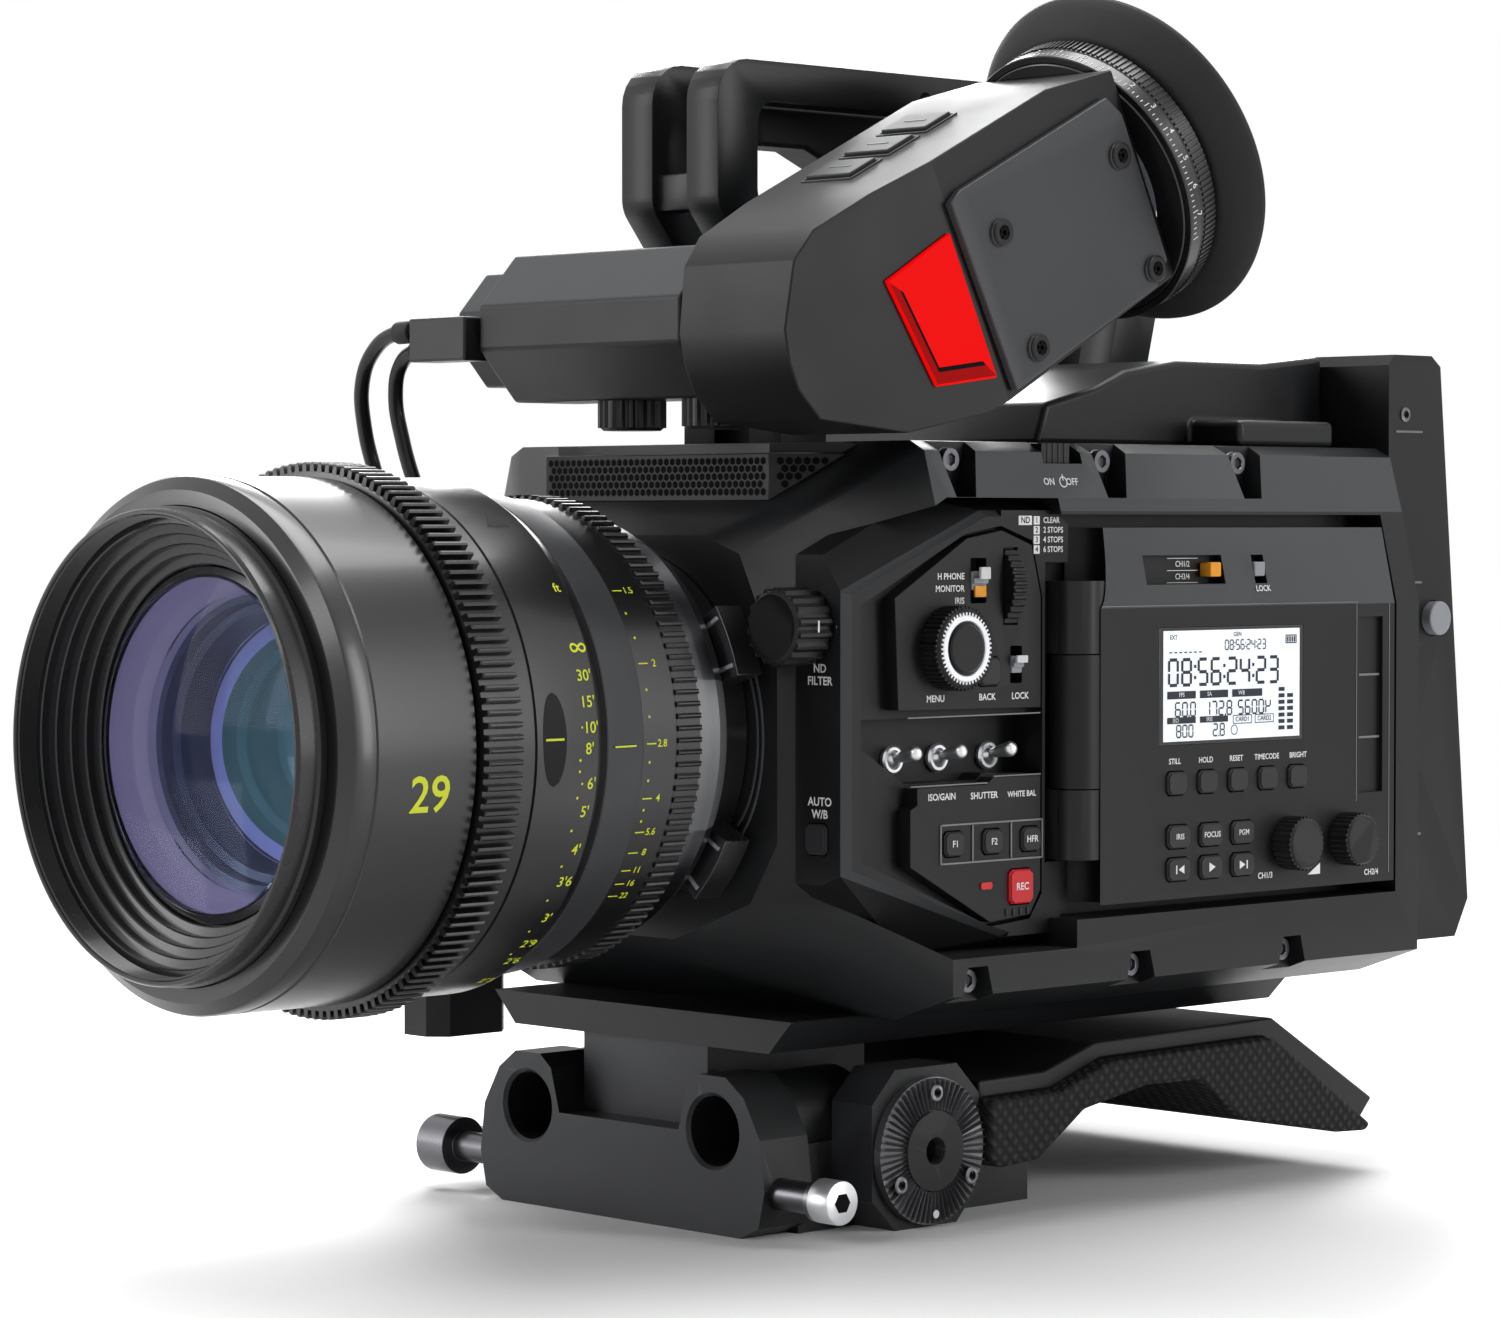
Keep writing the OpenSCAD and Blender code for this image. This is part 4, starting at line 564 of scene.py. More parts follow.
def make_glass():
    """The front glass and the groups seen behind it, down to the iris, with an inner tube whose coloured rings glow as
    painted reflections.
    """
    def dome(radius, rim_s, curve, thick):
        """Front profile of a lens element from its axis to its rim, then a flat back."""
        centre = rim_s - math.sqrt(curve * curve - radius * radius)
        front = [(radius * i / 16, centre + math.sqrt(curve * curve - (radius * i / 16) ** 2)) for i in range(17)]
        return front + [(radius, rim_s - thick), (0.0, rim_s - thick)]
    front = place(turned(dome(33.9, 107.6, 80.0, 3.2), lens_axis), "front_element_glass",
                  coated_glass("front_glass", (0.80, 0.84, 0.95), (0.34, 0.30, 0.95), 0.18),
                  "body", 30)
    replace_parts(front, "front_element")
    inner = ((29.2, 96.5, 80.0, (0.10, 0.30, 0.85)), (23.8, 86.0, 46.0, (0.10, 0.60, 0.50)),
             (17.0, 74.0, 30.0, (0.50, 0.20, 0.60)))
    for i, (r, s, curve, film) in enumerate(inner):
        place(turned(dome(r, s, curve, 1.0), lens_axis, steps=72), "inner_glass_%d" % i,
              coated_glass("inner_glass_%d" % i, (0.9, 0.95, 0.98), film, 0.10), "body", 30)
    tube = [(33.6, 104.2), (33.2, 103.2), (28.6, 93.6), (27.2, 93.2), (26.6, 90.8), (25.0, 90.2), (24.4, 87.0),
            (23.6, 84.0), (21.0, 83.0), (20.4, 81.0), (19.2, 80.6), (18.6, 78.4), (17.5, 78.0), (17.2, 72.8),
            (15.8, 72.2), (15.4, 70.8), (14.0, 70.4), (13.4, 66.0), (0.0, 64.0)]
    # The inner tube's coloured rings glow though no lamp is there: painted reflections of the inner coatings.
    painted_glows = []
    for name, low, tint in (("reflection_glow_purple", 28.6, (0.20, 0.17, 0.27)), ("reflection_glow_navy", 23.6, (0.012, 0.016, 0.05)),
                            ("reflection_glow_lilac", 21.0, (0.28, 0.28, 0.60)), ("reflection_glow_teal", 17.4, (0.06, 0.15, 0.16)),
                            ("reflection_glow_deep", 0.0, (0.004, 0.02, 0.035))):
        painted_glows.append((low, glowing(name, tint, 0.3)))
    piece = place(turned(tube, lens_axis), "inner_tube", [coat for low, coat in painted_glows], "body", 20)
    for face in piece.data.polygons:
        c = face.center / MM - FLANGE
        face.material_index = next(i for i, (low, coat) in enumerate(painted_glows) if math.hypot(c.x, c.z) >= low)
    core = [(44.0, 100.2), (44.0, 81.0), (46.4, 81.0), (46.4, 45.55), (51.6, 45.55), (51.85, 45.3), (50.75, 34.9),
            (50.5, 34.65), (44.45, 34.65), (44.45, 17.45), (43.6, 17.1), (32.5, 17.1), (30.6, 16.4), (30.5, 6.0),
            (31.5, 5.6), (31.5, 4.8), (30.5, 4.4), (30.5, 2.05), (33.6, 2.05), (34.0, 1.7), (34.0, 0.1),
            (27.0, 0.1), (27.0, -13.6), (26.6, -14.0), (22.0, -14.0), (22.0, 10.0), (34.0, 30.0), (34.0, 100.2)]
    piece = place(turned(core, lens_axis, close=True), "lens_core_body",
                  [lens_black(), finish("collar_grey", (0.05, 0.051, 0.055), 0.36, metal=0.35, grain=(2400, 0.1)),
                   bright_steel()], "body", 24)
    for face in piece.data.polygons:
        c = face.center / MM - FLANGE
        s, r = -c.y, math.hypot(c.x, c.z)
        if 34.6 < s < 45.6 and r > 47:
            face.material_index = 1
        elif s < 17.2:
            face.material_index = 2
    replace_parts(piece, "lens_core")


def toothed_rim(bm, teeth, tip, root, front, back, frame_of, slope=0.32):
    """Adds a ring of gear teeth between two stations: each tooth is a block with slanted sides."""
    part = bmesh.new()
    pitch = math.tau / teeth
    bmesh.ops.create_cube(part, size=1.0)
    for v in part.verts:
        outer = v.co.x > 0
        half = pitch * (0.19 if outer else 0.32)
        a = half if v.co.y > 0 else -half
        r = tip if outer else root - 0.6
        s = front if v.co.z > 0 else back
        v.co = Vector((r * math.cos(a), r * math.sin(a), s))
    bmesh.ops.bevel(part, geom=[e for e in part.edges if all(math.hypot(v.co.x, v.co.y) > root for v in e.verts)],
                    offset=slope, segments=1, profile=0.5, affect="EDGES", material=-1, clamp_overlap=True)
    mesh = bpy.data.meshes.new("tooth")
    part.to_mesh(mesh)
    part.free()
    row = bmesh.new()
    for i in range(teeth):
        turn = Matrix.Rotation(i * pitch, 4, "Z")
        start = len(row.verts)
        row.from_mesh(mesh)
        row.verts.ensure_lookup_table()
        for v in row.verts[start:]:
            v.co = frame_of(*(turn @ v.co))
    bpy.data.meshes.remove(mesh)
    return join_into(bm, row)


def make_focus_ring():
    """The focus ring with its teeth and groove."""
    profile = [(46.6, 46.0), (51.9, 46.0), (52.05, 46.2), (53.95, 50.0), (54.0, 50.4), (54.0, 66.1), (53.55, 66.3),
               (53.55, 66.7), (54.0, 66.9), (54.0, 71.6), (54.6, 72.0), (55.1, 72.1), (55.1, 80.9), (54.6, 81.0),
               (46.6, 81.0)]
    bm = turned(profile, lens_axis, close=True)
    toothed_rim(bm, 142, 57.0, 55.1, 80.95, 72.1, lens_axis)
    piece = place(bm, "focus_ring_body", lens_black(), "focus", 24)
    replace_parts(piece, "focus_ring")


def make_iris_ring():
    """The iris ring with its scale face and teeth."""
    profile = [(44.6, 17.8), (49.6, 17.8), (49.6, 24.3), (49.7, 24.5), (49.7, 33.8), (49.4, 34.15), (44.6, 34.15)]
    bm = turned(profile, lens_axis, close=True)
    toothed_rim(bm, 126, 50.5, 48.9, 24.35, 17.85, lens_axis)
    piece = place(bm, "iris_ring_body", lens_black(), "iris", 24)
    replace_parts(piece, "iris_ring")


def make_lens_marks():
    """The engraved scales of the lens."""
    skin = lambda a, s: lens_skin(barrel_radius, a, s)
    iris = lambda a, s: lens_skin(lambda q: 49.7, a, s)
    fixed = bmesh.new()
    write_on(fixed, "29", 10.2, skin(-9.0, 93.2), heavy=0.12)
    place(fixed, "barrel_marks", ink_scale(), "body")
    turning = bmesh.new()
    scale = ((35.6, "ft", 3.0), (21.2, "∞", 5.0), (15.0, "30'", 3.3), (9.3, "15'", 3.3), (3.8, "·10'", 3.3),
             (-0.7, "8'", 3.3), (-8.2, "· 6'", 3.3), (-14.3, "5'", 3.3), (-23.0, "4'", 3.3), (-30.9, "3'6", 3.3),
             (-40.9, "3'", 3.3), (-49.3, "2'9", 3.3), (-56.0, "2'6", 3.3), (-66.0, "2'3", 3.3), (-78.0, "2'", 3.3),
             (-92.0, "1'9", 3.3), (-108.0, "1'6", 3.3))
    for angle, text, size in scale:
        write_on(turning, text, size, skin(angle, 52.3), heavy=0.03)
    for angle in (-3.2, -5.6, -11.3, -18.6, -27.0, -35.8, -45.0, -53.0):
        write_on(turning, "·", 4.0, skin(angle, 54.8), heavy=0.05)
    place(turning, "focus_marks", ink_scale(), "focus")
    index = bmesh.new()
    bar_mark(index, 0.0, 0.0, 6.4, 0.35, lens_skin(lambda q: 51.0 + (q - 34.6) * 0.11, -0.7, 40.4))
    place(index, "index_marks", ink_scale(), "body")
    stops = bmesh.new()
    for angle, text in ((38.0, "1.5"), (18.6, "2"), (-0.5, "2.8"), (-13.6, "4"), (-22.1, "5.6"), (-27.6, "8"),
                        (-32.6, "11"), (-36.6, "16"), (-40.5, "22")):
        write_on(stops, text, 2.2, iris(angle, 28.6), heavy=0.03, turn=0)
        bar_mark(stops, 0.0, 0.0, 2.6, 0.28, iris(angle, 31.6))
    for a, b in ((38.0, 18.6), (18.6, -0.5), (-0.5, -13.6), (-13.6, -22.1)):
        for k in (1, 2):
            bar_mark(stops, 0.0, 0.0, 0.5, 0.5, iris(a + (b - a) * k / 3, 32.0))
    place(stops, "iris_marks", ink_scale(), "iris")


def make_mount():
    """The steel seat and the winged ring that locks the lens."""
    bm = turned([(27.1, 0.0), (35.4, 0.0), (35.9, -0.5), (35.9, -5.9), (27.1, -5.9)], lens_axis, close=True)
    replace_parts(place(bm, "mount_plate_body", bright_steel(), "body", 24), "mount_plate")
    rounded("breech_ring", finish("breech_steel", (0.10, 0.10, 0.105), 0.3, metal=0.9, grain=(2400, 0.06), tone=0.2,
                                  wear=0.6), width=0.0005, segments=3, smooth=30)
    collar = turned([(31.0, 17.0), (46.4, 17.0), (46.8, 16.6), (46.8, 13.0), (46.2, 12.6), (46.2, 9.0),
                     (44.6, 5.6), (31.0, 5.6)], lens_axis, close=True)
    piece = place(collar, "mount_collar",
                  [dark_steel(), finish("brushed_collar", (0.17, 0.173, 0.18), 0.48, metal=0.7, grain=(900.0, 0.2),
                                        tone=0.15, stretch=(1.0, 8.0, 1.0))], "body", 24)
    for face in piece.data.polygons:
        c = face.center / MM - FLANGE
        turn = abs(math.degrees(math.atan2(c.z, c.x)) + 6.0)
        if turn < 20.0 or abs(turn - 180.0) < 20.0:
            face.material_index = 1
    trim = bmesh.new()
    for a in (25.0, 155.0, 217.0, -37.0):
        for side in (-1, 1):
            c = math.radians(a + side * 6.6)
            r = 43.6
            turn = Matrix.Rotation(c, 3, "Y").inverted()
            block(trim, (r * math.cos(c), -4.15, r * math.sin(c)), (7.0, 0.5, 0.9), bevel=0.15,
                  turn=Matrix.Rotation(-c, 3, "Y"))
    place(trim, "wing_edges", bright_steel(), "breech", 30)


# Housings, carried over from the frame with rounded edges and finishes

def make_housings():
    """Every housing whose CAD shape is right, with rounded edges."""
    small = bpy.context.scene.camera_body.small_edge
    rounded("chassis", shell_black(), width=0.0009, segments=2)
    rounded("top_deck", shell_black(), width=0.0014, segments=3)
    rounded("control_bezel", panel_black(), width=0.0007)
    rounded("control_panel", panel_black(), width=0.0005)
    rounded("monitor_door", panel_black(), width=0.0006)
    rounded("battery_plate", panel_black(), width=0.0015, segments=3)
    rounded("handle_grip", soft_black(), width=0.0010)
    rounded("vf_rail", shell_black(), width=0.0009, segments=3)
    rounded("vf_arm", dark_alloy(), width=0.0012, segments=3)
    rounded("vf_housing", panel_black(), width=0.0018, segments=3)
    rounded("vf_side_plate", finish("plate_grey", (0.040, 0.041, 0.044), 0.42, metal=0.2, grain=(2600, 0.1), tone=0.1,
                                    wear=0.3), width=0.0004)
    rounded("base_block", dark_alloy(), width=0.0012, segments=3)
    rounded("shoulder_plate", dark_alloy(), width=0.0012, segments=3)
    rounded("hand_grip", soft_black(), width=0.0030, segments=4)
    rounded("rosette", finish("rosette_grey", (0.10, 0.10, 0.105), 0.42, metal=0.8, grain=(2000, 0.1), tone=0.2,
                              wear=0.5), width=0.00015, segments=1)
    rounded("clamp_lever", dark_steel(), width=0.0004)
    rounded("awb_button", key_grey(), width=small)
    rounded("thumb_wheel", knob_black(), width=0.00015)
    rounded("menu_wheel", knob_black(), width=0.00015)
    rounded("nd_knob", knob_black(), width=0.0003)
    for node in ("back_button", "f1_key", "f2_key", "hfr_key", "status_keys", "transport_keys", "vf_buttons"):
        rounded(node, key_grey(), width=small)
    rounded("rec_key", finish("record_red", (0.55, 0.008, 0.012), 0.35, grain=(2500, 0.05), tone=0.08, coat=0.3),
            width=small)
    for node in ("selector_switch", "lock_switch", "door_lock_switch"):
        rounded(node, finish("slider_grey", (0.25, 0.26, 0.28), 0.4, grain=(2500, 0.06), tone=0.1), width=small)
    rounded("channel_switch", finish("slider_orange", (0.75, 0.30, 0.02), 0.4, grain=(2500, 0.06), tone=0.1),
            width=small)
    rounded("power_switch", knob_black(), width=small)
    for node in ("gain_knob_a", "gain_knob_b", "vf_knob_a", "vf_knob_b"):
        rounded(node, knob_black(), width=0.00015)
    for node in ("toggle_iso", "toggle_shutter", "toggle_wb"):
        rounded(node, bright_steel(), width=0.0, smooth=50)
    rounded("battery_release", finish("slider_grey", (0.25, 0.26, 0.28), 0.4), width=small)
    rounded("case_screws", dark_steel(), width=0.0002)


# The control side: lettering, display and small fittings

def side(y, z, x):
    """A face that looks along +X: across is +Y, up is +Z, out is +X."""
    return lambda u, v, w: at(x + w, y + u, z + v)


def front(x, z, y):
    """A face that looks forward: across is +X, up is +Z."""
    return lambda u, v, w: at(x + u, y - w, z + v)


def slanted(y, x, z, run, rise):
    """A face that leans: up goes run along X and rise along Z for each millimetre."""
    return lambda u, v, w: at(x + v * run + w * rise, y + u, z + v * rise - w * run)


def plate(outline, x, thick=0.0):
    """Outline of (Y, Z) points as a bmesh slab whose outer face is at x."""
    return slab(bmesh.new(), outline, x - thick, x)


def rect(y, z, w, h, cut=0.0):
    """A rectangle about a centre, with cut corners when cut is above 0."""
    a, b = w / 2, h / 2
    if cut <= 0:
        return [(y - a, z - b), (y + a, z - b), (y + a, z + b), (y - a, z + b)]
    return [(y - a + cut, z - b), (y + a - cut, z - b), (y + a, z - b + cut), (y + a, z + b - cut),
            (y + a - cut, z + b), (y - a + cut, z + b), (y - a, z + b - cut), (y - a, z - b + cut)]


def arrow(bm, across, up, size, frame_of, way=1):
    """A printed triangle that points along across."""
    return mark_on(bm, [(across - way * size / 2, up - size / 2), (across + way * size / 2, up),
                        (across - way * size / 2, up + size / 2)][::way], frame_of)


def make_panel_labels():
    """Lettering of the control module and the upper strip."""
    bm = bmesh.new()
    face = 67.4
    for text, y, z, size, align in (
            ("H PHONE", 42.2, 33.2, 1.9, "RIGHT"), ("MONITOR", 42.2, 30.6, 1.9, "RIGHT"),
            ("IRIS", 42.2, 28.0, 1.9, "RIGHT"),
            ("MENU", 33.4, 7.4, 2.0, "CENTER"), ("BACK", 49.3, 7.4, 2.0, "CENTER"), ("LOCK", 59.6, 7.4, 2.0, "CENTER"),
            ("ISO/GAIN", 35.4, -13.4, 2.0, "CENTER"), ("SHUTTER", 48.4, -13.6, 2.0, "CENTER"),
            ("WHITE BAL", 60.2, -13.7, 1.75, "CENTER")):
        write_on(bm, text, size, side(y, z, face), heavy=0.035, align=align)
    for text, y in (("F1", 38.7), ("F2", 50.7), ("HFR", 62.7)):
        write_on(bm, text, 2.0, side(y, -23.5, 68.3), heavy=0.03)
    write_on(bm, "REC", 2.2, side(59.6, -33.6, 68.3), heavy=0.04)
    legend = 67.0
    for i, text in enumerate(("CLEAR", "2 STOPS", "4 STOPS", "6 STOPS")):
        z = 45.1 - 2.1 * i
        write_on(bm, text, 1.75, side(67.3, z, legend), heavy=0.03, align="LEFT")
        bar_mark(bm, 65.2, z, 1.9, 1.8, side(0, 0, legend))
    bar_mark(bm, 61.6, 45.1, 4.2, 2.0, side(0, 0, legend))
    write_on(bm, "ON      OFF", 2.2, slanted(71.6, 68.2, 53.4, -0.27, 0.963), heavy=0.03)
    place(bm, "panel_lettering", ink_white(), "body")
    dark = bmesh.new()
    over = LIFT_STEP
    for i in range(4):
        write_on(dark, str(i + 1), 1.7, side(65.2, 45.1 - 2.1 * i, legend + over), heavy=0.03)
    write_on(dark, "ND", 1.9, side(61.6, 45.1, legend + over), heavy=0.03)
    place(dark, "legend_numbers", void_black(), "body")
    ring = turned([(1.0, 0.0), (1.0, 0.05), (1.25, 0.05), (1.25, 0.0)],
                  slanted(72.4, 68.2, 53.4, -0.27, 0.963), steps=32, close=True)
    bar_mark(ring, 0.0, 1.0, 0.26, 1.4, slanted(72.4, 68.2, 53.4, -0.27, 0.963))
    place(ring, "power_sign", ink_white(), "body")
    wall = bmesh.new()
    for text, z in (("ND", 14.2), ("FILTER", 11.6), ("AUTO", -13.6), ("W/B", -16.2)):
        write_on(wall, text, 2.5, front(59.3, z, 7.2), heavy=0.05)
    place(wall, "front_lettering", ink_white(), "body")
    number = bmesh.new()
    write_on(number, "1", 3.4, side(2.4, 23.0, 63.75), heavy=0.06)
    place(number, "filter_number", ink_white(), "nd")
    line = bmesh.new()
    bar_mark(line, 0.0, 0.0, 3.6, 0.55, slanted(8.9, 64.2, 23.0, 0.0, 1.0))
    place(line, "filter_index", ink_white(), "body")
    note = bmesh.new()
    mark_on(note, [(-1.1, -0.8), (1.1, -0.8), (0.0, 1.1)], side(167.0, 45.2, 73.0))
    lamp = slab(bmesh.new(), rect(49.0, -32.9, 3.4, 1.5, 0.3), 67.2, 67.75)
    place(lamp, "record_lamp", finish("lamp_red", (0.55, 0.01, 0.01), 0.3, grain=(900, 0.02), coat=0.4), "body")
    note.free()


LIFT_STEP = 0.04

SEGMENTS = {"0": "abcdef", "1": "bc", "2": "abged", "3": "abgcd", "4": "fgbc", "5": "afgcd", "6": "afgedc", "7": "abc",
            "8": "abcdefg", "9": "abcdfg", "-": "g", "K": "fegb"}


def digits(bm, text, y, z, height, frame_x):
    """Seven-segment figures: y is the left edge, z the middle."""
    w, half, thick = height * 0.52, height / 2, height * 0.13
    spots = {"a": (w / 2, half, w, thick), "g": (w / 2, 0.0, w, thick), "d": (w / 2, -half, w, thick),
             "f": (0.0, half / 2, thick, half), "b": (w, half / 2, thick, half),
             "e": (0.0, -half / 2, thick, half), "c": (w, -half / 2, thick, half)}
    for sign in text:
        if sign in SEGMENTS:
            for name in SEGMENTS[sign]:
                a, b, c, d = spots[name]
                bar_mark(bm, y + a, z + b, c * 0.84 if c > d else c, d * 0.84 if d > c else d, side(0, 0, frame_x))
            y += w + height * 0.27
        elif sign == ":":
            for up in (-0.22, 0.22):
                bar_mark(bm, y - height * 0.02, z + up * height, thick, thick, side(0, 0, frame_x))
            y += height * 0.2
        elif sign == ".":
            bar_mark(bm, y - height * 0.07, z - half, thick, thick, side(0, 0, frame_x))
            y += height * 0.12
    return y


def make_display():
    """The status display behind its window, with lit ground and dark figures."""
    rounded("door_window", finish("display_bezel", (0.010, 0.010, 0.011), 0.18, grain=(600, 0.02), coat=0.6),
            width=0.0002)
    y0, y1, z0, z1 = 97.6, 144.4, -3.6, 20.8
    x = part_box("door_window")[1][0] / MM - FLANGE.x
    ground = plate([(y0, z0), (y1, z0), (y1, z1), (y0, z1)], x + 0.06, 0.16)
    place(ground, "display_ground", glowing("display_white", (0.74, 0.78, 0.82), 0.35), "door")
    bm = bmesh.new()
    f = x + 0.10
    digits(bm, "08:56:24:23", 99.4, 11.6, 5.6, f)
    digits(bm, "08:56:24:23", 118.4, 17.4, 2.1, f)
    digits(bm, "-------", 99.4, 16.0, 2.1, f)
    digits(bm, "60.0", 101.6, 3.4, 3.0, f)
    digits(bm, "172.8", 111.6, 3.4, 3.0, f)
    digits(bm, "5600K", 123.0, 3.4, 3.0, f)
    digits(bm, "800", 102.0, -1.4, 2.6, f)
    digits(bm, "2.8", 114.4, -1.4, 2.6, f)
    for y, w in ((103.6, 9.6), (114.6, 9.6), (126.0, 10.4)):
        bar_mark(bm, y, 6.6, w, 1.7, side(0, 0, f))
    for y, w in ((103.6, 9.6), (114.6, 9.6)):
        bar_mark(bm, y, 1.0, w, 1.4, side(0, 0, f))
    for y in (124.4, 132.0):
        for up in (-0.2, 1.6):
            bar_mark(bm, y, up, 6.4, 0.18, side(0, 0, f))
        for k in (-1, 1):
            bar_mark(bm, y + k * 3.2, 0.7, 0.18, 1.8, side(0, 0, f))
        write_on(bm, "CARD" + ("1" if y < 128 else "2"), 1.5, side(y, 0.7, f), heavy=0.01)
    for i in range(8):
        for k, full in ((0, 7), (1, 6)):
            if i < full:
                bar_mark(bm, 138.0 + k * 3.0, -1.6 + i * 1.45, 2.1, 0.9, side(0, 0, f))
    for y, z, w, h in ((141.3, 17.5, 3.6, 0.25), (141.3, 19.2, 3.6, 0.25), (139.5, 18.35, 0.25, 1.9),
                       (143.1, 18.35, 0.25, 1.9)):
        bar_mark(bm, y, z, w, h, side(0, 0, f))
    for i in range(4):
        bar_mark(bm, 140.1 + i * 0.8, 18.35, 0.5, 1.2, side(0, 0, f))
    for text, y, z in (("EXT", 100.9, 19.3), ("GEN", 122.6, 19.7)):
        write_on(bm, text, 1.4, side(y, z, f), heavy=0.01)
    dot = turned([(0.95, 0.0), (0.95, 0.02), (1.15, 0.02), (1.15, 0.0)], side(121.6, -1.6, f), steps=24, close=True)
    join_into(bm, dot)
    place(bm, "display_figures", finish("display_dark", (0.02, 0.022, 0.035), 0.5, grain=(900, 0.02)), "door")
    small = bmesh.new()
    for text, y, z in (("FPS", 103.6, 6.6), ("SA", 113.0, 6.6), ("WB", 124.0, 6.6), ("ISO", 101.6, 1.0),
                       ("IRIS", 113.0, 1.0)):
        write_on(small, text, 1.35, side(y, z, f + LIFT_STEP), heavy=0.01)
    place(small, "display_captions", ink_white(), "door")


def make_door_labels():
    """Lettering, divider lines and slider windows of the monitor door, and a painted highlight along a seam."""
    bm = bmesh.new()
    face = 75.0
    for text, y in (("STILL", 101.5), ("HOLD", 112.0), ("RESET", 122.4), ("TIMECODE", 133.0), ("BRIGHT", 144.0)):
        write_on(bm, text, 1.75, side(y, -8.0, face), heavy=0.03)
    for text, y in (("IRIS", 102.4), ("FOCUS", 113.3), ("PGM", 124.2)):
        write_on(bm, text, 1.75, side(y, -24.6, 75.9), heavy=0.02)
    row = side(0, 0, 75.9)
    bar_mark(bm, 101.2, -31.8, 0.4, 1.9, row)
    arrow(bm, 102.8, -31.8, 1.9, row, -1)
    arrow(bm, 113.3, -31.8, 2.1, row)
    arrow(bm, 123.6, -31.8, 1.9, row)
    bar_mark(bm, 125.2, -31.8, 0.4, 1.9, row)
    write_on(bm, "CH1/3", 1.9, side(132.6, -34.8, face), heavy=0.03)
    write_on(bm, "CH2/4", 1.9, side(170.6, -36.0, face), heavy=0.03)
    mark_on(bm, [(147.6, -35.4), (152.0, -35.4), (152.0, -32.9)], side(0, 0, face))
    write_on(bm, "LOCK", 1.9, slanted(132.4, 74.35, 29.8, -0.223, 0.975), heavy=0.03)
    write_on(bm, "CH1/2", 1.8, slanted(109.6, 70.05, 35.4, 0.0, 1.0), heavy=0.02)
    write_on(bm, "CH3/4", 1.8, slanted(109.6, 70.05, 32.6, 0.0, 1.0), heavy=0.02)
    for z, w in ((36.7, 10.4), (34.0, 10.4), (31.3, 10.4)):
        bar_mark(bm, 109.6, z, w, 0.16, side(0, 0, 70.05))
    place(bm, "door_lettering", ink_white(), "door")
    trim = bmesh.new()
    for y0, z0, y1, z1 in ((77.4, 26.4, 165.4, 26.4), (165.0, 26.0, 165.0, -19.4), (177.0, 26.0, 177.0, -36.4)):
        block(trim, ((75.02), (y0 + y1) / 2, (z0 + z1) / 2), (0.12, max(0.22, y1 - y0), max(0.22, abs(z1 - z0))))
    for z in (-4.8, 9.6):
        block(trim, (74.0, 170.3, z), (0.5, 8.2, 0.5))
    place(trim, "door_lines", finish("line_grey", (0.16, 0.165, 0.175), 0.35, metal=0.5, grain=(1500, 0.05)), "door")
    # A thin bright steel strip along the door's seam: painted highlight.
    seam_highlight = bmesh.new()
    block(seam_highlight, (74.0, 166.6, 2.7), (0.4, 0.35, 39.5), bevel=0.1)
    place(seam_highlight, "seam_highlight_strip", bright_steel(), "door")


def knurl(bm, centre_of, radius, low, high, count, depth, width=0.5):
    """Adds raised ribs round an axis: centre_of(x, y, z) has z along the axis, in millimetres."""
    for i in range(count):
        a = math.tau * i / count
        wide = math.tau * radius / count * width
        block(bm, (radius * math.cos(a), radius * math.sin(a), (low + high) / 2), (depth * 2, wide, high - low),
              frame_of=centre_of, bevel=min(depth, wide) * 0.3, segments=1, turn=Matrix.Rotation(a, 3, "Z"))
    return bm


def x_axis_at(y, z):
    """Frame about an axis along +X: z is the station."""
    return lambda a, b, c: at(c, y + a, z + b)


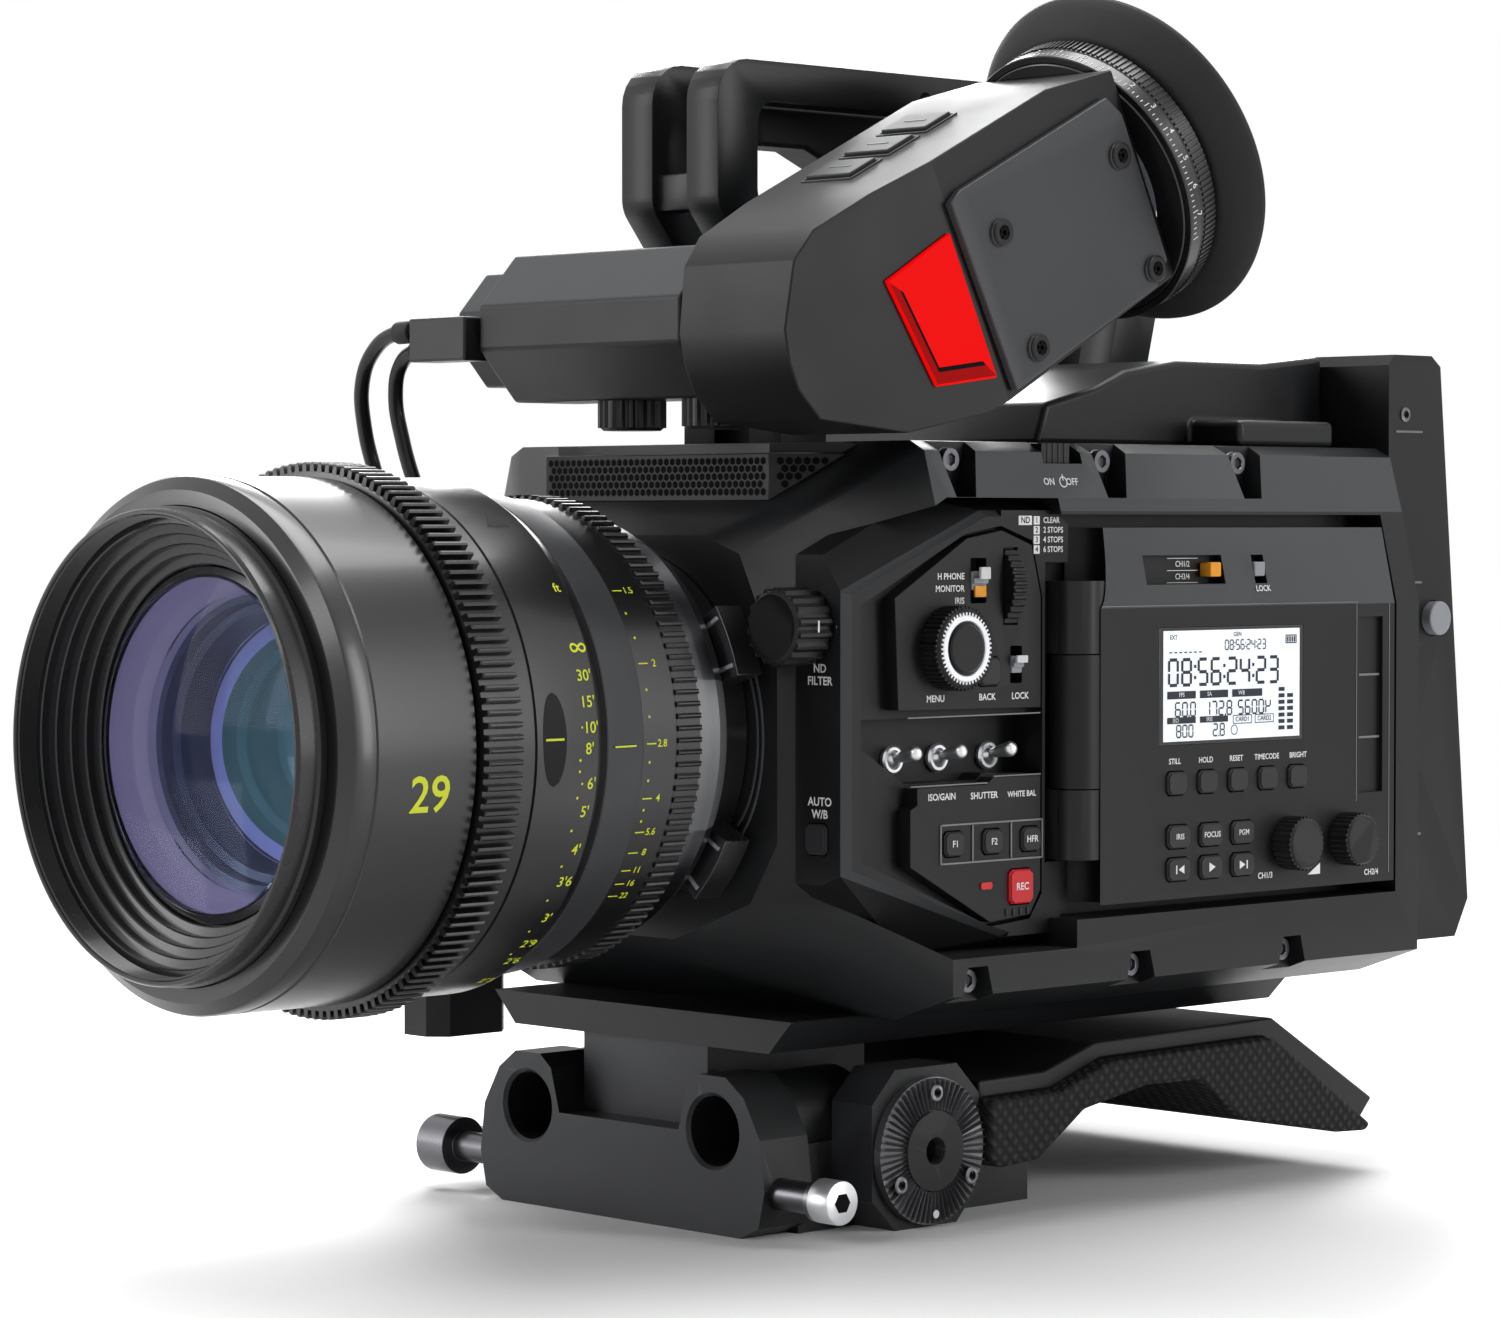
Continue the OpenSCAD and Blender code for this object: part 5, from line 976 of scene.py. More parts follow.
def make_small_fittings():
    """The menu wheel's bright face ring, key dividers, slider marks, painted highlights along the shelf edges and
    toggle collars.
    """
    wheel = x_axis_at(37.4, 18.1)
    ring = turned([(5.6, 72.5), (5.9, 72.85), (6.9, 72.85), (7.2, 72.5)], wheel, steps=96, close=True)
    knurl(ring, wheel, 7.25, 72.4, 72.8, 48, 0.45, 0.5)
    place(ring, "wheel_ring", bright_steel(), "menu", 25)
    cap = turned([(0.0, 72.6), (0.0, 73.2), (4.8, 73.2), (5.2, 72.9), (5.2, 72.6)], wheel, steps=64)
    place(cap, "wheel_cap", knob_black(), "menu", 25)
    marks = bmesh.new()
    block(marks, (69.3, 46.6, 33.9), (0.8, 3.0, 2.6), bevel=0.2)
    place(marks, "selector_tip", finish("tip_white", (0.6, 0.61, 0.62), 0.4, grain=(1500, 0.05)), "selector")
    tips = bmesh.new()
    for z in (15.4,):
        block(tips, (69.0, 58.4, z), (0.8, 3.4, 1.6), bevel=0.2)
    place(tips, "lock_tip", finish("tip_white", (0.6, 0.61, 0.62), 0.4), "lock")
    warm = bmesh.new()
    block(warm, (67.9, 46.6, 30.0), (0.5, 3.4, 2.4), bevel=0.12)
    place(warm, "selector_orange", finish("slider_orange", (0.80, 0.30, 0.02), 0.4), "selector")
    # Light grey strips along the shelf edges: painted highlights.
    shelf_highlights = bmesh.new()
    for y0, y1, z in ((25.0, 66.0, 3.6), (25.9, 49.4, -10.9), (51.4, 66.2, -9.6)):
        block(shelf_highlights, (67.25, (y0 + y1) / 2, z), (0.5, y1 - y0, 0.28))
    place(shelf_highlights, "shelf_edge_highlights", finish("line_grey", (0.16, 0.165, 0.175), 0.35), "body")
    fins = bmesh.new()
    for i in range(4):
        block(fins, (67.5, 55.4 + 2.2 * i, -39.0), (0.5, 0.7, 1.6), bevel=0.15)
    place(fins, "key_fins", key_grey(), "body")
    frame_bm = bmesh.new()
    for y in (44.7, 56.7):
        block(frame_bm, (67.5, y, -23.5), (0.4, 0.35, 7.6))
    for z in (-27.6, -19.4):
        block(frame_bm, (67.5, 50.7, z), (0.4, 31.6, 0.35))
    for y in (34.9, 66.5):
        block(frame_bm, (67.5, y, -23.5), (0.4, 0.35, 8.5))
    place(frame_bm, "key_frame", finish("line_grey", (0.16, 0.165, 0.175), 0.35), "body")
    for node, y in (("toggle_iso", 29.2), ("toggle_shutter", 43.0), ("toggle_wb", 58.6)):
        collar = turned([(2.1, 58.2), (3.1, 58.2), (3.1, 59.0), (2.7, 59.4), (2.1, 59.4)], x_axis_at(y, -5.6), steps=40,
                        close=True)
        place(collar, node + "_collar", bright_steel(), "body", 25)


def side_axis(x, y, z):
    """Frame about an axis along +X through a point on the operator's side."""
    def place_point(a, b, c):
        return at(x + c, y + a, z + b)
    return place_point


def finder_axis(y, z):
    """Frame about an axis along +X through a screw of the viewfinder's side plate."""
    def place_point(a, b, c):
        return pivot_frame(FINDER_SCREW_X + c, y + a, z + b)
    return place_point


def torx(bm, hole_shades, radius, frame_of):
    """A screw head with a six-lobed socket: the head goes into the first bmesh, and a flat black star, painted shade of
    the socket, into the second.
    """
    part = turned([(0.0, 0.0), (0.0, 0.18), (radius * 0.52, 0.18), (radius * 0.55, 0.5), (radius * 0.86, 0.5),
                   (radius, 0.3), (radius, 0.0)], frame_of, steps=36)
    join_into(bm, part)
    for i in range(3):
        block(hole_shades, (0.0, 0.0, 0.52), (radius * 0.98, radius * 0.24, 0.08), frame_of=frame_of,
              turn=Matrix.Rotation(math.pi * i / 3, 3, "Z"))
    return bm


FINDER_SCREW_X = 83.7


def make_screws():
    """The socket screws of the notches, the viewfinder's plate and the rosette, and the rosette's dot."""
    # The screw sockets are flat black stars: painted shade.
    heads, hole_shades = bmesh.new(), bmesh.new()
    for x, z, places in ((62.5, 58.0, (41.0, 89.0, 135.0)), (70.0, -52.2, (38.6, 90.5, 142.2))):
        for y in places:
            torx(heads, hole_shades, 2.7, side_axis(x, y, z))
    place(heads, "case_screw_heads", dark_steel(), "body", 25)
    place(hole_shades, "case_screw_sockets", void_black(), "body")
    heads, hole_shades = bmesh.new(), bmesh.new()
    for y in (38.9, 80.0):
        for z in (1.0, -25.3):
            torx(heads, hole_shades, 2.9, finder_axis(y, z))
    place(heads, "finder_screw_heads", knob_black(), "finder", 25)
    place(hole_shades, "finder_screw_sockets", void_black(), "finder")
    heads, hole_shades = bmesh.new(), bmesh.new()
    for a in (90.0, 210.0, 330.0):
        c = math.radians(a)
        torx(heads, hole_shades, 1.9, side_axis(57.0, ROSETTE_Y + ROSETTE_SCREW_CIRCLE * math.cos(c),
                                          ROSETTE_Z + ROSETTE_SCREW_CIRCLE * math.sin(c)))
    place(heads, "rosette_screw_heads", dark_steel(), "body", 25)
    place(hole_shades, "rosette_screw_sockets", void_black(), "body")
    dot = turned([(0.0, 0.0), (0.0, 0.12), (0.9, 0.12), (0.9, 0.0)],
                 side_axis(57.0, ROSETTE_Y, ROSETTE_Z - 13.6), steps=24)
    place(dot, "rosette_dot", ink_white(), "body")


# The viewfinder, its leads, the grille and the base

def eye_skin(angle, station, radius):
    """A face wrapped on the eyepiece: across runs round it downwards, up runs backwards along it."""
    def place_point(across, up, out):
        a = math.radians(angle) - across / radius
        return pivot_frame(60.0 + (radius + out) * math.cos(a), station + up, -9.0 + (radius + out) * math.sin(a))
    return place_point


def make_eyepiece():
    """The eyepiece tube, the scaled and knurled dioptre ring, the glass and the soft eyecup."""
    rounded("vf_eyepiece", lens_black(), width=0.0003)
    glass = rounded("vf_glass", coated_glass("eye_glass", (0.8, 0.85, 0.95), (0.4, 0.5, 0.9)), width=0.0)
    profile = [(29.7, 88.3), (31.0, 88.3), (31.2, 88.6), (31.2, 92.0), (30.8, 92.3), (30.8, 92.7), (31.0, 93.0),
               (31.0, 97.2), (30.7, 97.5), (29.7, 97.5)]
    ring = turned(profile, eye_axis, close=True)
    knurl(ring, eye_axis, 31.15, 93.2, 97.0, 150, 0.22, 0.5)
    place(ring, "vf_diopter_body", lens_black(), "diopter", 25)
    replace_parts(bpy.data.objects["vf_diopter_body"], "vf_diopter")
    marks = bmesh.new()
    for i in range(61):
        angle = 118.0 - i * 2.4
        long = i % 5 == 0
        bar_mark(marks, 0.0, 0.0, 0.22, 1.7 if long else 0.9, eye_skin(angle, 89.6 + (0.35 if long else 0.0), 31.22))
    for i in range(12):
        write_on(marks, str(abs(i - 4)), 2.1, eye_skin(116.0 - i * 12.0, 91.2, 31.22), heavy=0.02)
    place(marks, "diopter_scale", ink_white(), "diopter")
    cup = [(27.0, 98.3), (31.0, 98.3), (32.0, 98.7), (34.4, 100.3), (36.6, 102.4), (38.2, 104.4), (38.5, 105.2),
           (38.1, 106.0), (36.6, 107.2), (35.4, 107.55), (30.0, 107.1), (27.0, 105.0)]
    place(turned(cup, eye_axis, close=True), "vf_eyecup_body", soft_black(), "finder", 50)
    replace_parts(bpy.data.objects["vf_eyecup_body"], "vf_eyecup")
    return glass


def make_tally():
    """The signal lamp: a lit red window, with a dim red strip and a black line along its lower side as painted shade.
    """
    def lit_red(name, base, glow):
        """Red plastic lit from behind, with next to no gloss, so that it stays a pure red."""
        material = glowing(name, base, 1.0)
        shader = next(n for n in material.node_tree.nodes if n.type == "BSDF_PRINCIPLED")
        shader.inputs["Emission Color"].default_value = (*glow, 1.0)
        shader.inputs["Specular IOR Level"].default_value = 0.03
        return material
    rounded("vf_tally", lit_red("tally_red", (0.30, 0.0008, 0.001), (0.60, 0.0, 0.0)), width=0.0004)
    spots = [v.co for v in bpy.data.objects["vf_tally_body"].data.vertices]
    middle = sum(spots, Vector()) / len(spots)
    normal = max(bpy.data.objects["vf_tally_body"].data.polygons,
                 key=lambda f: f.area if f.normal.x > 0 else 0.0).normal
    outer = [p for p in spots if (p - middle).dot(normal) > 0.0003]
    across = Vector((0, math.cos(TILT), math.sin(TILT)))
    across = (across - normal * across.dot(normal)).normalized()
    up = normal.cross(across)
    if up.z < 0:
        up = -up
    ring = sorted(outer, key=lambda p: math.atan2((p - middle).dot(up), (p - middle).dot(across)))
    centre = sum(ring, Vector()) / len(ring)
    # Both strips lie only along the lower side of the window: painted shade of the lamp's recess.
    for name, near, far, material in (
            ("tally_shade_strip", 0.04, 0.22, lit_red("tally_shade_red", (0.12, 0.0005, 0.0005), (0.22, 0.0, 0.0))),
            ("tally_shade_line", 0.22, 0.29, void_black())):
        strip = bmesh.new()
        for k, p in enumerate(ring):
            q = ring[(k + 1) % len(ring)]
            if (q - p).length > 0.004 and ((p + q) / 2 - centre).dot(up) + ((p + q) / 2 - centre).dot(across) * 0.6 < 0:
                lift = normal * 0.00008
                strip.faces.new([strip.verts.new(v + lift) for v in (p.lerp(centre, near), q.lerp(centre, near),
                                                                     q.lerp(centre, far), p.lerp(centre, far))])
        bmesh.ops.recalc_face_normals(strip, faces=strip.faces)
        for face in strip.faces:
            if face.normal.dot(normal) < 0:
                face.normal_flip()
        place(strip, name, material, "finder")


def make_leads():
    """The two leads of the viewfinder, as smooth tubes along their CAD routes."""
    routes = ([[-43, -17, 86.6], [-50, -17, 86.4], [-58, -16.4, 83], [-64, -15, 76], [-67, -12, 66], [-67, -9, 56],
               [-65, -7, 47], [-62, -5, 40], [-59, -2, 35], [-57, 3, 33], [-57, 8, 33]],
              [[-43, -13.4, 82.6], [-48, -13.4, 82.4], [-53, -13, 79.6], [-56, -12, 73], [-56, -10, 63], [-54, -8, 53],
               [-51, -6, 44], [-49, -3, 38], [-48, 2, 36], [-48, 8, 36]])
    curve = bpy.data.curves.new("leads", "CURVE")
    curve.dimensions = "3D"
    curve.bevel_depth = 0.0017
    curve.bevel_resolution = 5
    curve.resolution_u = 8
    curve.use_fill_caps = True
    for route in routes:
        line = curve.splines.new("BEZIER")
        line.bezier_points.add(len(route) - 1)
        for knot, p in zip(line.bezier_points, route):
            knot.co = at(*p)
            knot.handle_left_type = knot.handle_right_type = "AUTO"
    owner = bpy.data.objects.new("leads", curve)
    bpy.context.scene.collection.objects.link(owner)
    bpy.context.view_layer.update()
    bm = bmesh.new()
    bm.from_mesh(owner.evaluated_get(bpy.context.evaluated_depsgraph_get()).to_mesh())
    bpy.data.objects.remove(owner)
    bpy.data.curves.remove(curve)
    bmesh.ops.recalc_face_normals(bm, faces=bm.faces)
    leads = place(bm, "finder_leads", finish("lead_rubber", (0.006, 0.006, 0.0065), 0.33, grain=(1500, 0.05), coat=0.2),
                  body_of("vf_cable"), 60)
    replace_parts(leads, "vf_cable")
    boots = bmesh.new()
    for p, q in (((-43.6, -17, 86.6), (-49, -17, 86.5)), ((-43.6, -13.4, 82.6), (-47.4, -13.4, 82.5)),
                 ((-57, 1.4, 33.2), (-57, 8.2, 33)), ((-48, 1.6, 36), (-48, 8.2, 36))):
        rod(boots, p, q, 2.5, sides=28, bevel=0.5)
    place(boots, "lead_boots", soft_black(), "body", 40)


def make_grille():
    """The honeycomb of the microphone grille."""
    rounded("mic_grille", finish("grille_dark", (0.012, 0.012, 0.0125), 0.45, grain=(2200, 0.15)), width=0.0003)
    # Flat black hexagons in front of the grille: painted shade of its holes.
    hole_shade_cells = bmesh.new()
    y_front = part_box("mic_grille")[0][1] / MM - FLANGE.y
    pitch = 1.9
    mesh = bpy.data.meshes.new("cell")
    one = bmesh.new()
    bmesh.ops.create_circle(one, cap_ends=True, segments=6, radius=0.86)
    one.to_mesh(mesh)
    one.free()

    def cell(x, y, z, turn):
        start = len(hole_shade_cells.verts)
        hole_shade_cells.from_mesh(mesh)
        hole_shade_cells.verts.ensure_lookup_table()
        for v in hole_shade_cells.verts[start:]:
            u, w = v.co.x, v.co.y
            v.co = at(x + u * math.cos(turn) + 0.06 * math.sin(turn),
                      y + u * math.sin(turn) - 0.06 * math.cos(turn), z + w)
    for row in range(5):
        z = 51.2 + row * pitch * 0.866
        for i in range(-19, 20):
            x = i * pitch + (pitch / 2 if row % 2 else 0.0)
            if abs(x) < 35.0:
                cell(x, y_front, z, 0.0)
        rise = math.atan2(16.0, 14.0)
        for i in range(1, 7):
            d = i * pitch + (pitch / 2 if row % 2 else 0.0)
            if z > 51.0 + d * 0.55:
                x, y = 36.4 + d * math.cos(rise), y_front + 0.3 + d * math.sin(rise)
                cell(x, y, z, rise)
                cell(-x, y, z, -rise)
    bpy.data.meshes.remove(mesh)
    place(hole_shade_cells, "grille_hole_shades", void_black(), "body")


def make_base_fittings():
    """The rod clamp's socket screw with its silver end."""
    bm = bmesh.new()
    rod(bm, (58.0, 9.0, -97.2), (64.2, 9.0, -97.2), 4.7, sides=40, bevel=0.4)
    place(bm, "clamp_head", bright_steel(), "clamp", 30)
    # A flat black hexagon for the screw's socket: painted shade.
    hole_shade = bmesh.new()
    rod(hole_shade, (64.0, 9.0, -97.2), (64.35, 9.0, -97.2), 2.2, sides=6)
    place(hole_shade, "clamp_socket", void_black(), "clamp")


def woven():
    """A coarse woven cloth: two crossing sets of ribs over a dark ground."""
    if "pad_weave" in FINISHES:
        return FINISHES["pad_weave"]
    material = finish("pad_weave", (0.010, 0.010, 0.011), 0.8, grain=(2500.0, 0.3), tone=0.3, specular=0.25)
    nodes, links = material.node_tree.nodes, material.node_tree.links
    shader = next(n for n in nodes if n.type == "BSDF_PRINCIPLED")
    bump = next(n for n in nodes if n.type == "BUMP")
    mapping = next(n for n in nodes if n.type == "MAPPING")
    ribs = []
    for way in ("BANDS", "BANDS"):
        wave = nodes.new("ShaderNodeTexWave")
        wave.wave_type = way
        wave.bands_direction = "DIAGONAL"
        wave.inputs["Scale"].default_value = 190.0
        wave.inputs["Distortion"].default_value = 0.4
        wave.inputs["Detail"].default_value = 1.0
        ribs.append(wave)
    links.new(mapping.outputs[0], ribs[0].inputs["Vector"])
    other = nodes.new("ShaderNodeMapping")
    other.inputs["Scale"].default_value = (1.0, -1.0, 1.0)
    links.new(mapping.outputs[0], other.inputs["Vector"])
    links.new(other.outputs[0], ribs[1].inputs["Vector"])
    cross = nodes.new("ShaderNodeMath")
    cross.operation = "MULTIPLY"
    links.new(ribs[0].outputs["Fac"], cross.inputs[0])
    links.new(ribs[1].outputs["Fac"], cross.inputs[1])
    bump.inputs["Strength"].default_value = 0.9
    bump.inputs["Distance"].default_value = 0.0006
    links.new(cross.outputs[0], bump.inputs["Height"])
    tint = nodes.new("ShaderNodeMix")
    tint.data_type = "RGBA"
    tint.inputs["A"].default_value = (0.004, 0.004, 0.0045, 1.0)
    tint.inputs["B"].default_value = (0.035, 0.036, 0.038, 1.0)
    links.new(cross.outputs[0], tint.inputs["Factor"])
    links.new(tint.outputs["Result"], shader.inputs["Base Color"])
    return material


def make_pad():
    """The soft shoulder pad, crowned between its edges, in woven cloth."""
    piece = place(merged("shoulder_pad"), "shoulder_pad_cloth", woven(), body_of("shoulder_pad"),
                  60)
    bevel = piece.modifiers.new("edges", "BEVEL")
    bevel.width = 0.0028
    bevel.segments = 4
    bevel.limit_method = "ANGLE"
    bevel.angle_limit = math.radians(20)
    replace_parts(piece, "shoulder_pad")


# The top handle

def softened(outline, radii):
    """An outline with its corners rounded: one radius for each corner, 0 for a sharp one."""
    out = []
    for k, (p, r) in enumerate(zip(outline, radii)):
        p = Vector(p)
        a = (Vector(outline[k - 1]) - p).normalized()
        b = (Vector(outline[(k + 1) % len(outline)]) - p).normalized()
        if r <= 0.0:
            out.append((p.x, p.y))
            continue
        half = a.angle(b) / 2
        middle = p + (a + b).normalized() * r / math.sin(half)
        start, end = p + a * r / math.tan(half), p + b * r / math.tan(half)
        steps = 6
        first = math.atan2(start.y - middle.y, start.x - middle.x)
        last = math.atan2(end.y - middle.y, end.x - middle.x)
        sweep = (last - first + math.pi) % math.tau - math.pi
        out += [(middle.x + r * math.cos(first + sweep * i / steps), middle.y + r * math.sin(first + sweep * i / steps))
                for i in range(steps + 1)]
    return out


def make_handle():
    """The two side plates of the top handle with soft corners, their spacers and screw sockets."""
    low, high, y0, length = 61.5, 145.5, 19.4, 147.0

    def spot(p):
        return (y0 + p[0] * length, low + p[1] * (high - low))
    outer = [(0.128, 0.0), (0.128, 0.34), (0.0, 0.62), (0.0, 1.0), (0.9, 1.0), (0.985, 0.86), (0.995, 0.5),
             (0.957, 0.245)]
    inner = [(0.865, 0.245), (0.9, 0.5), (0.88, 0.8), (0.84, 0.895), (0.082, 0.895), (0.082, 0.64), (0.225, 0.34),
             (0.225, 0.0)]
    outline = softened([spot(p) for p in outer + inner], [0, 6, 7, 9, 9, 8, 8, 0, 0, 8, 6, 4, 5, 7, 6, 0])
    bm = bmesh.new()
    for x in (-15.5, 5.5):
        slab(bm, outline, x, x + 10.0, bevel=1.1, segments=2)
    for q in ((0.012, 0.66, 8.0), (0.9, 0.45, 7.0), (0.14, 0.1, 8.0), (0.79, 0.92, 6.0)):
        y, z = spot(q[:2])
        block(bm, (0.0, y + q[2] / 2, z), (12.0, q[2], q[2]), bevel=0.6)
    piece = place(bm, "top_handle_body", shell_black(), "body", 32)
    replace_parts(piece, "top_handle")
    # Flat black discs for the screw sockets: painted shade.
    hole_shades = bmesh.new()
    for y in (84.0, 104.0, 124.0):
        for x in (-15.55, 15.55):
            rod(hole_shades, (x - 0.1, y, 140.2), (x + 0.1, y, 140.2), 1.6, sides=24)
    place(hole_shades, "handle_sockets", void_black(), "body")


# Painted bands, painted highlights and the last small pieces

def paint(piece, rules):
    """Gives faces of a piece other finishes: each rule is a finish and a test of the face's centre, in
    millimetres from the flange, and its normal."""
    mesh = piece.data
    for material, test in rules:
        mesh.materials.append(material)
        index = len(mesh.materials) - 1
        for face in mesh.polygons:
            if test(face.center / MM - FLANGE, face.normal):
                face.material_index = index


def make_painted_faces():
    """Lighter grey on the upward-tilted faces of the shell, the door, the arm and the rail as a painted highlight, and
    on the module's trim as two-tone paint; a dark hub on the rosette; a lighter grey on the base's forward faces as a
    painted highlight.
    """
    objects = bpy.data.objects
    # Shell and door faces that tilt upwards get the lighter grey: painted highlight.
    paint(objects["chassis_body"], [(band_grey(), lambda c, n: n.x > 0.8 and n.z > 0.12 and c.z > 48.0 and c.y > 33.0)])
    paint(objects["monitor_door_body"], [(band_grey(), lambda c, n: n.x > 0.8 and 0.12 < n.z < 0.6)])
    paint(objects["control_bezel_body"], [
        (band_grey(), lambda c, n: c.x > 65.2 and 0.25 < n.x < 0.97),
        (band_grey(), lambda c, n: c.x > 66.9 and n.x > 0.97 and (c.z > 36.0 or c.z < -30.0 or c.y > 64.0))])
    # Arm and rail faces that tilt upwards get the lighter grey: painted highlight.
    paint(objects["vf_arm_body"], [(band_grey(), lambda c, n: 0.3 < n.z < 0.97)])
    paint(objects["vf_rail_body"], [(band_grey(), lambda c, n: 0.3 < n.z < 0.97)])
    paint(objects["rosette_body"], [
        (knob_black(), lambda c, n: n.x > 0.9 and math.hypot(c.y - ROSETTE_Y, c.z - ROSETTE_Z) < 9.0)])
    # The base's forward faces get a lighter grey: painted highlight.
    paint(objects["base_block_body"], [
        (finish("clamp_face_highlight", (0.030, 0.031, 0.034), 0.42, metal=0.2, grain=(2400, 0.15), wear=0.3),
         lambda c, n: n.y < -0.6)])


def make_nose_ribs():
    """The oval rib lines on the nose."""
    bm = bmesh.new()
    for scale in (1.0, 1.13):
        last = None
        for i in range(25):
            a = math.radians(-62.0 + 124.0 * i / 24)
            x, z = 30.0 + 12.0 * scale * math.cos(a), -1.0 + 21.0 * scale * math.sin(a)
            spot = Vector((x, 5.95, z))
            if last is not None:
                rod(bm, last, spot, 0.35, sides=8)
            last = spot
    place(bm, "nose_ribs", band_grey(), "body", 60)
    seams = bmesh.new()
    for y in (66.0, 112.0, 160.0):
        block(seams, (67.0, y, 59.0), (0.2, 0.3, 0.2))
    seams.free()


def make_finder_details():
    """Frames round the three keys."""
    frames = bmesh.new()
    for y in (26.0, 38.5, 51.0):
        for dx in (-7.2, 7.2):
            block(frames, (57.0 + dx, y, 21.95), (0.45, 10.2, 0.4), frame_of=pivot_frame)
        for dy in (-5.0, 5.0):
            block(frames, (57.0, y + dy, 21.95), (14.8, 0.45, 0.4), frame_of=pivot_frame)
        block(frames, (57.0, y, 22.95), (6.0, 0.5, 0.12), frame_of=pivot_frame)
    place(frames, "finder_key_frames", band_grey(), "finder")


def make_plate_details():
    """Screws and ledges on the battery plate."""
    # The screw sockets are flat black stars: painted shade.
    heads, hole_shades = bmesh.new(), bmesh.new()
    for y, z in ((194.0, 70.0), (194.0, -44.0)):
        torx(heads, hole_shades, 1.7, side_axis(66.0, y, z))
    place(heads, "plate_screw_heads", dark_steel(), "body", 25)
    place(hole_shades, "plate_screw_sockets", void_black(), "body")
    lines = bmesh.new()
    for z in (66.0, 30.5, -29.0):
        block(lines, (66.0, 195.5, z), (0.35, 10.0, 0.5))
    place(lines, "plate_ledges", finish("line_grey", (0.16, 0.165, 0.175), 0.35), "body")


def make_lens_recesses():
    """The dark oval behind the focus index with its line, and the triangular mark of the barrel, laid flat as dull dark
    patches: painted shade of recesses.
    """
    bm = bmesh.new()
    skin = lens_skin(barrel_radius, 1.6, 61.5)
    steps = 28
    for k in range(steps):
        low, high = (-9.5 + 19.0 * j / steps for j in (k, k + 1))
        near, far = (3.1 * math.sqrt(max(0.0, 1.0 - (j / 9.5) ** 2)) for j in (low, high))
        mark_on(bm, [(-near, low), (near, low), (far, high), (-far, high)], skin)
    skin = lens_skin(barrel_radius, 56.8, 57.0)
    for k in range(6):
        low, high = (-2.6 + 5.2 * j / 6 for j in (k, k + 1))
        near, far = (3.0 * (2.6 - j) / 5.2 for j in (low, high))
        mark_on(bm, [(-near, low), (near, low), (far, high), (-far, high)], skin)
    bmesh.ops.remove_doubles(bm, verts=bm.verts, dist=1e-7)
    place(bm, "lens_recess_shades", finish("recess_shade_black", (0.005, 0.005, 0.0055), 0.55, specular=0.15, tone=0.1), "focus")
    skin = lens_skin(barrel_radius, 1.6, 61.5)
    line = bmesh.new()
    mark_on(line, [(-2.4, -0.22), (2.4, -0.22), (2.4, 0.22), (-2.4, 0.22)], lambda u, v, out: skin(u, v, out + 0.03))
    place(line, "recess_index", ink_scale(), "focus")


# The sides that the photograph doesn't show

def make_far_side():
    """Vents, a seam and sockets on the far side."""
    # The vents and the insides of the sockets are flat black strips and discs: painted shade. The thin dark lines are
    # the seam.
    dark, rims, pins = bmesh.new(), bmesh.new(), bmesh.new()
    for i in range(11):
        block(dark, (-75.0, 70.0 + 6.0 * i, 6.0), (0.3, 2.2, 30.0), bevel=0.1, segments=1)
    for y0, y1, z0, z1 in ((56.0, 178.0, -45.0, -44.6), (56.0, 178.0, 24.0, 24.4), (56.0, 56.4, -45.0, 24.4),
                           (177.6, 178.0, -45.0, 24.4)):
        block(dark, (-75.0, (y0 + y1) / 2, (z0 + z1) / 2), (0.2, y1 - y0, z1 - z0))
    for i in range(5):
        y = 76.0 + 20.0 * i
        rod(rims, (-76.2, y, -29.0), (-74.6, y, -29.0), 5.2, sides=40, bevel=0.3)
        rod(dark, (-76.4, y, -29.0), (-76.1, y, -29.0), 3.9, sides=32)
        rod(pins, (-77.0, y, -29.0), (-76.2, y, -29.0), 1.1, sides=20)
    place(dark, "far_vents", void_black(), "body")
    place(rims, "far_sockets", dark_steel(), "body", 30)
    place(pins, "far_pins", bright_steel(), "body", 30)


# The stage

def seen_rays(nodes, links):
    """One for a ray from the camera, a glossy surface or glass, and nothing for any other ray."""
    path = nodes.new("ShaderNodeLightPath")
    total = path.outputs["Is Camera Ray"]
    for name in ("Is Glossy Ray", "Is Transmission Ray"):
        either = nodes.new("ShaderNodeMath")
        either.operation = "MAXIMUM"
        links.new(total, either.inputs[0])
        links.new(path.outputs[name], either.inputs[1])
        total = either.outputs[0]
    return total


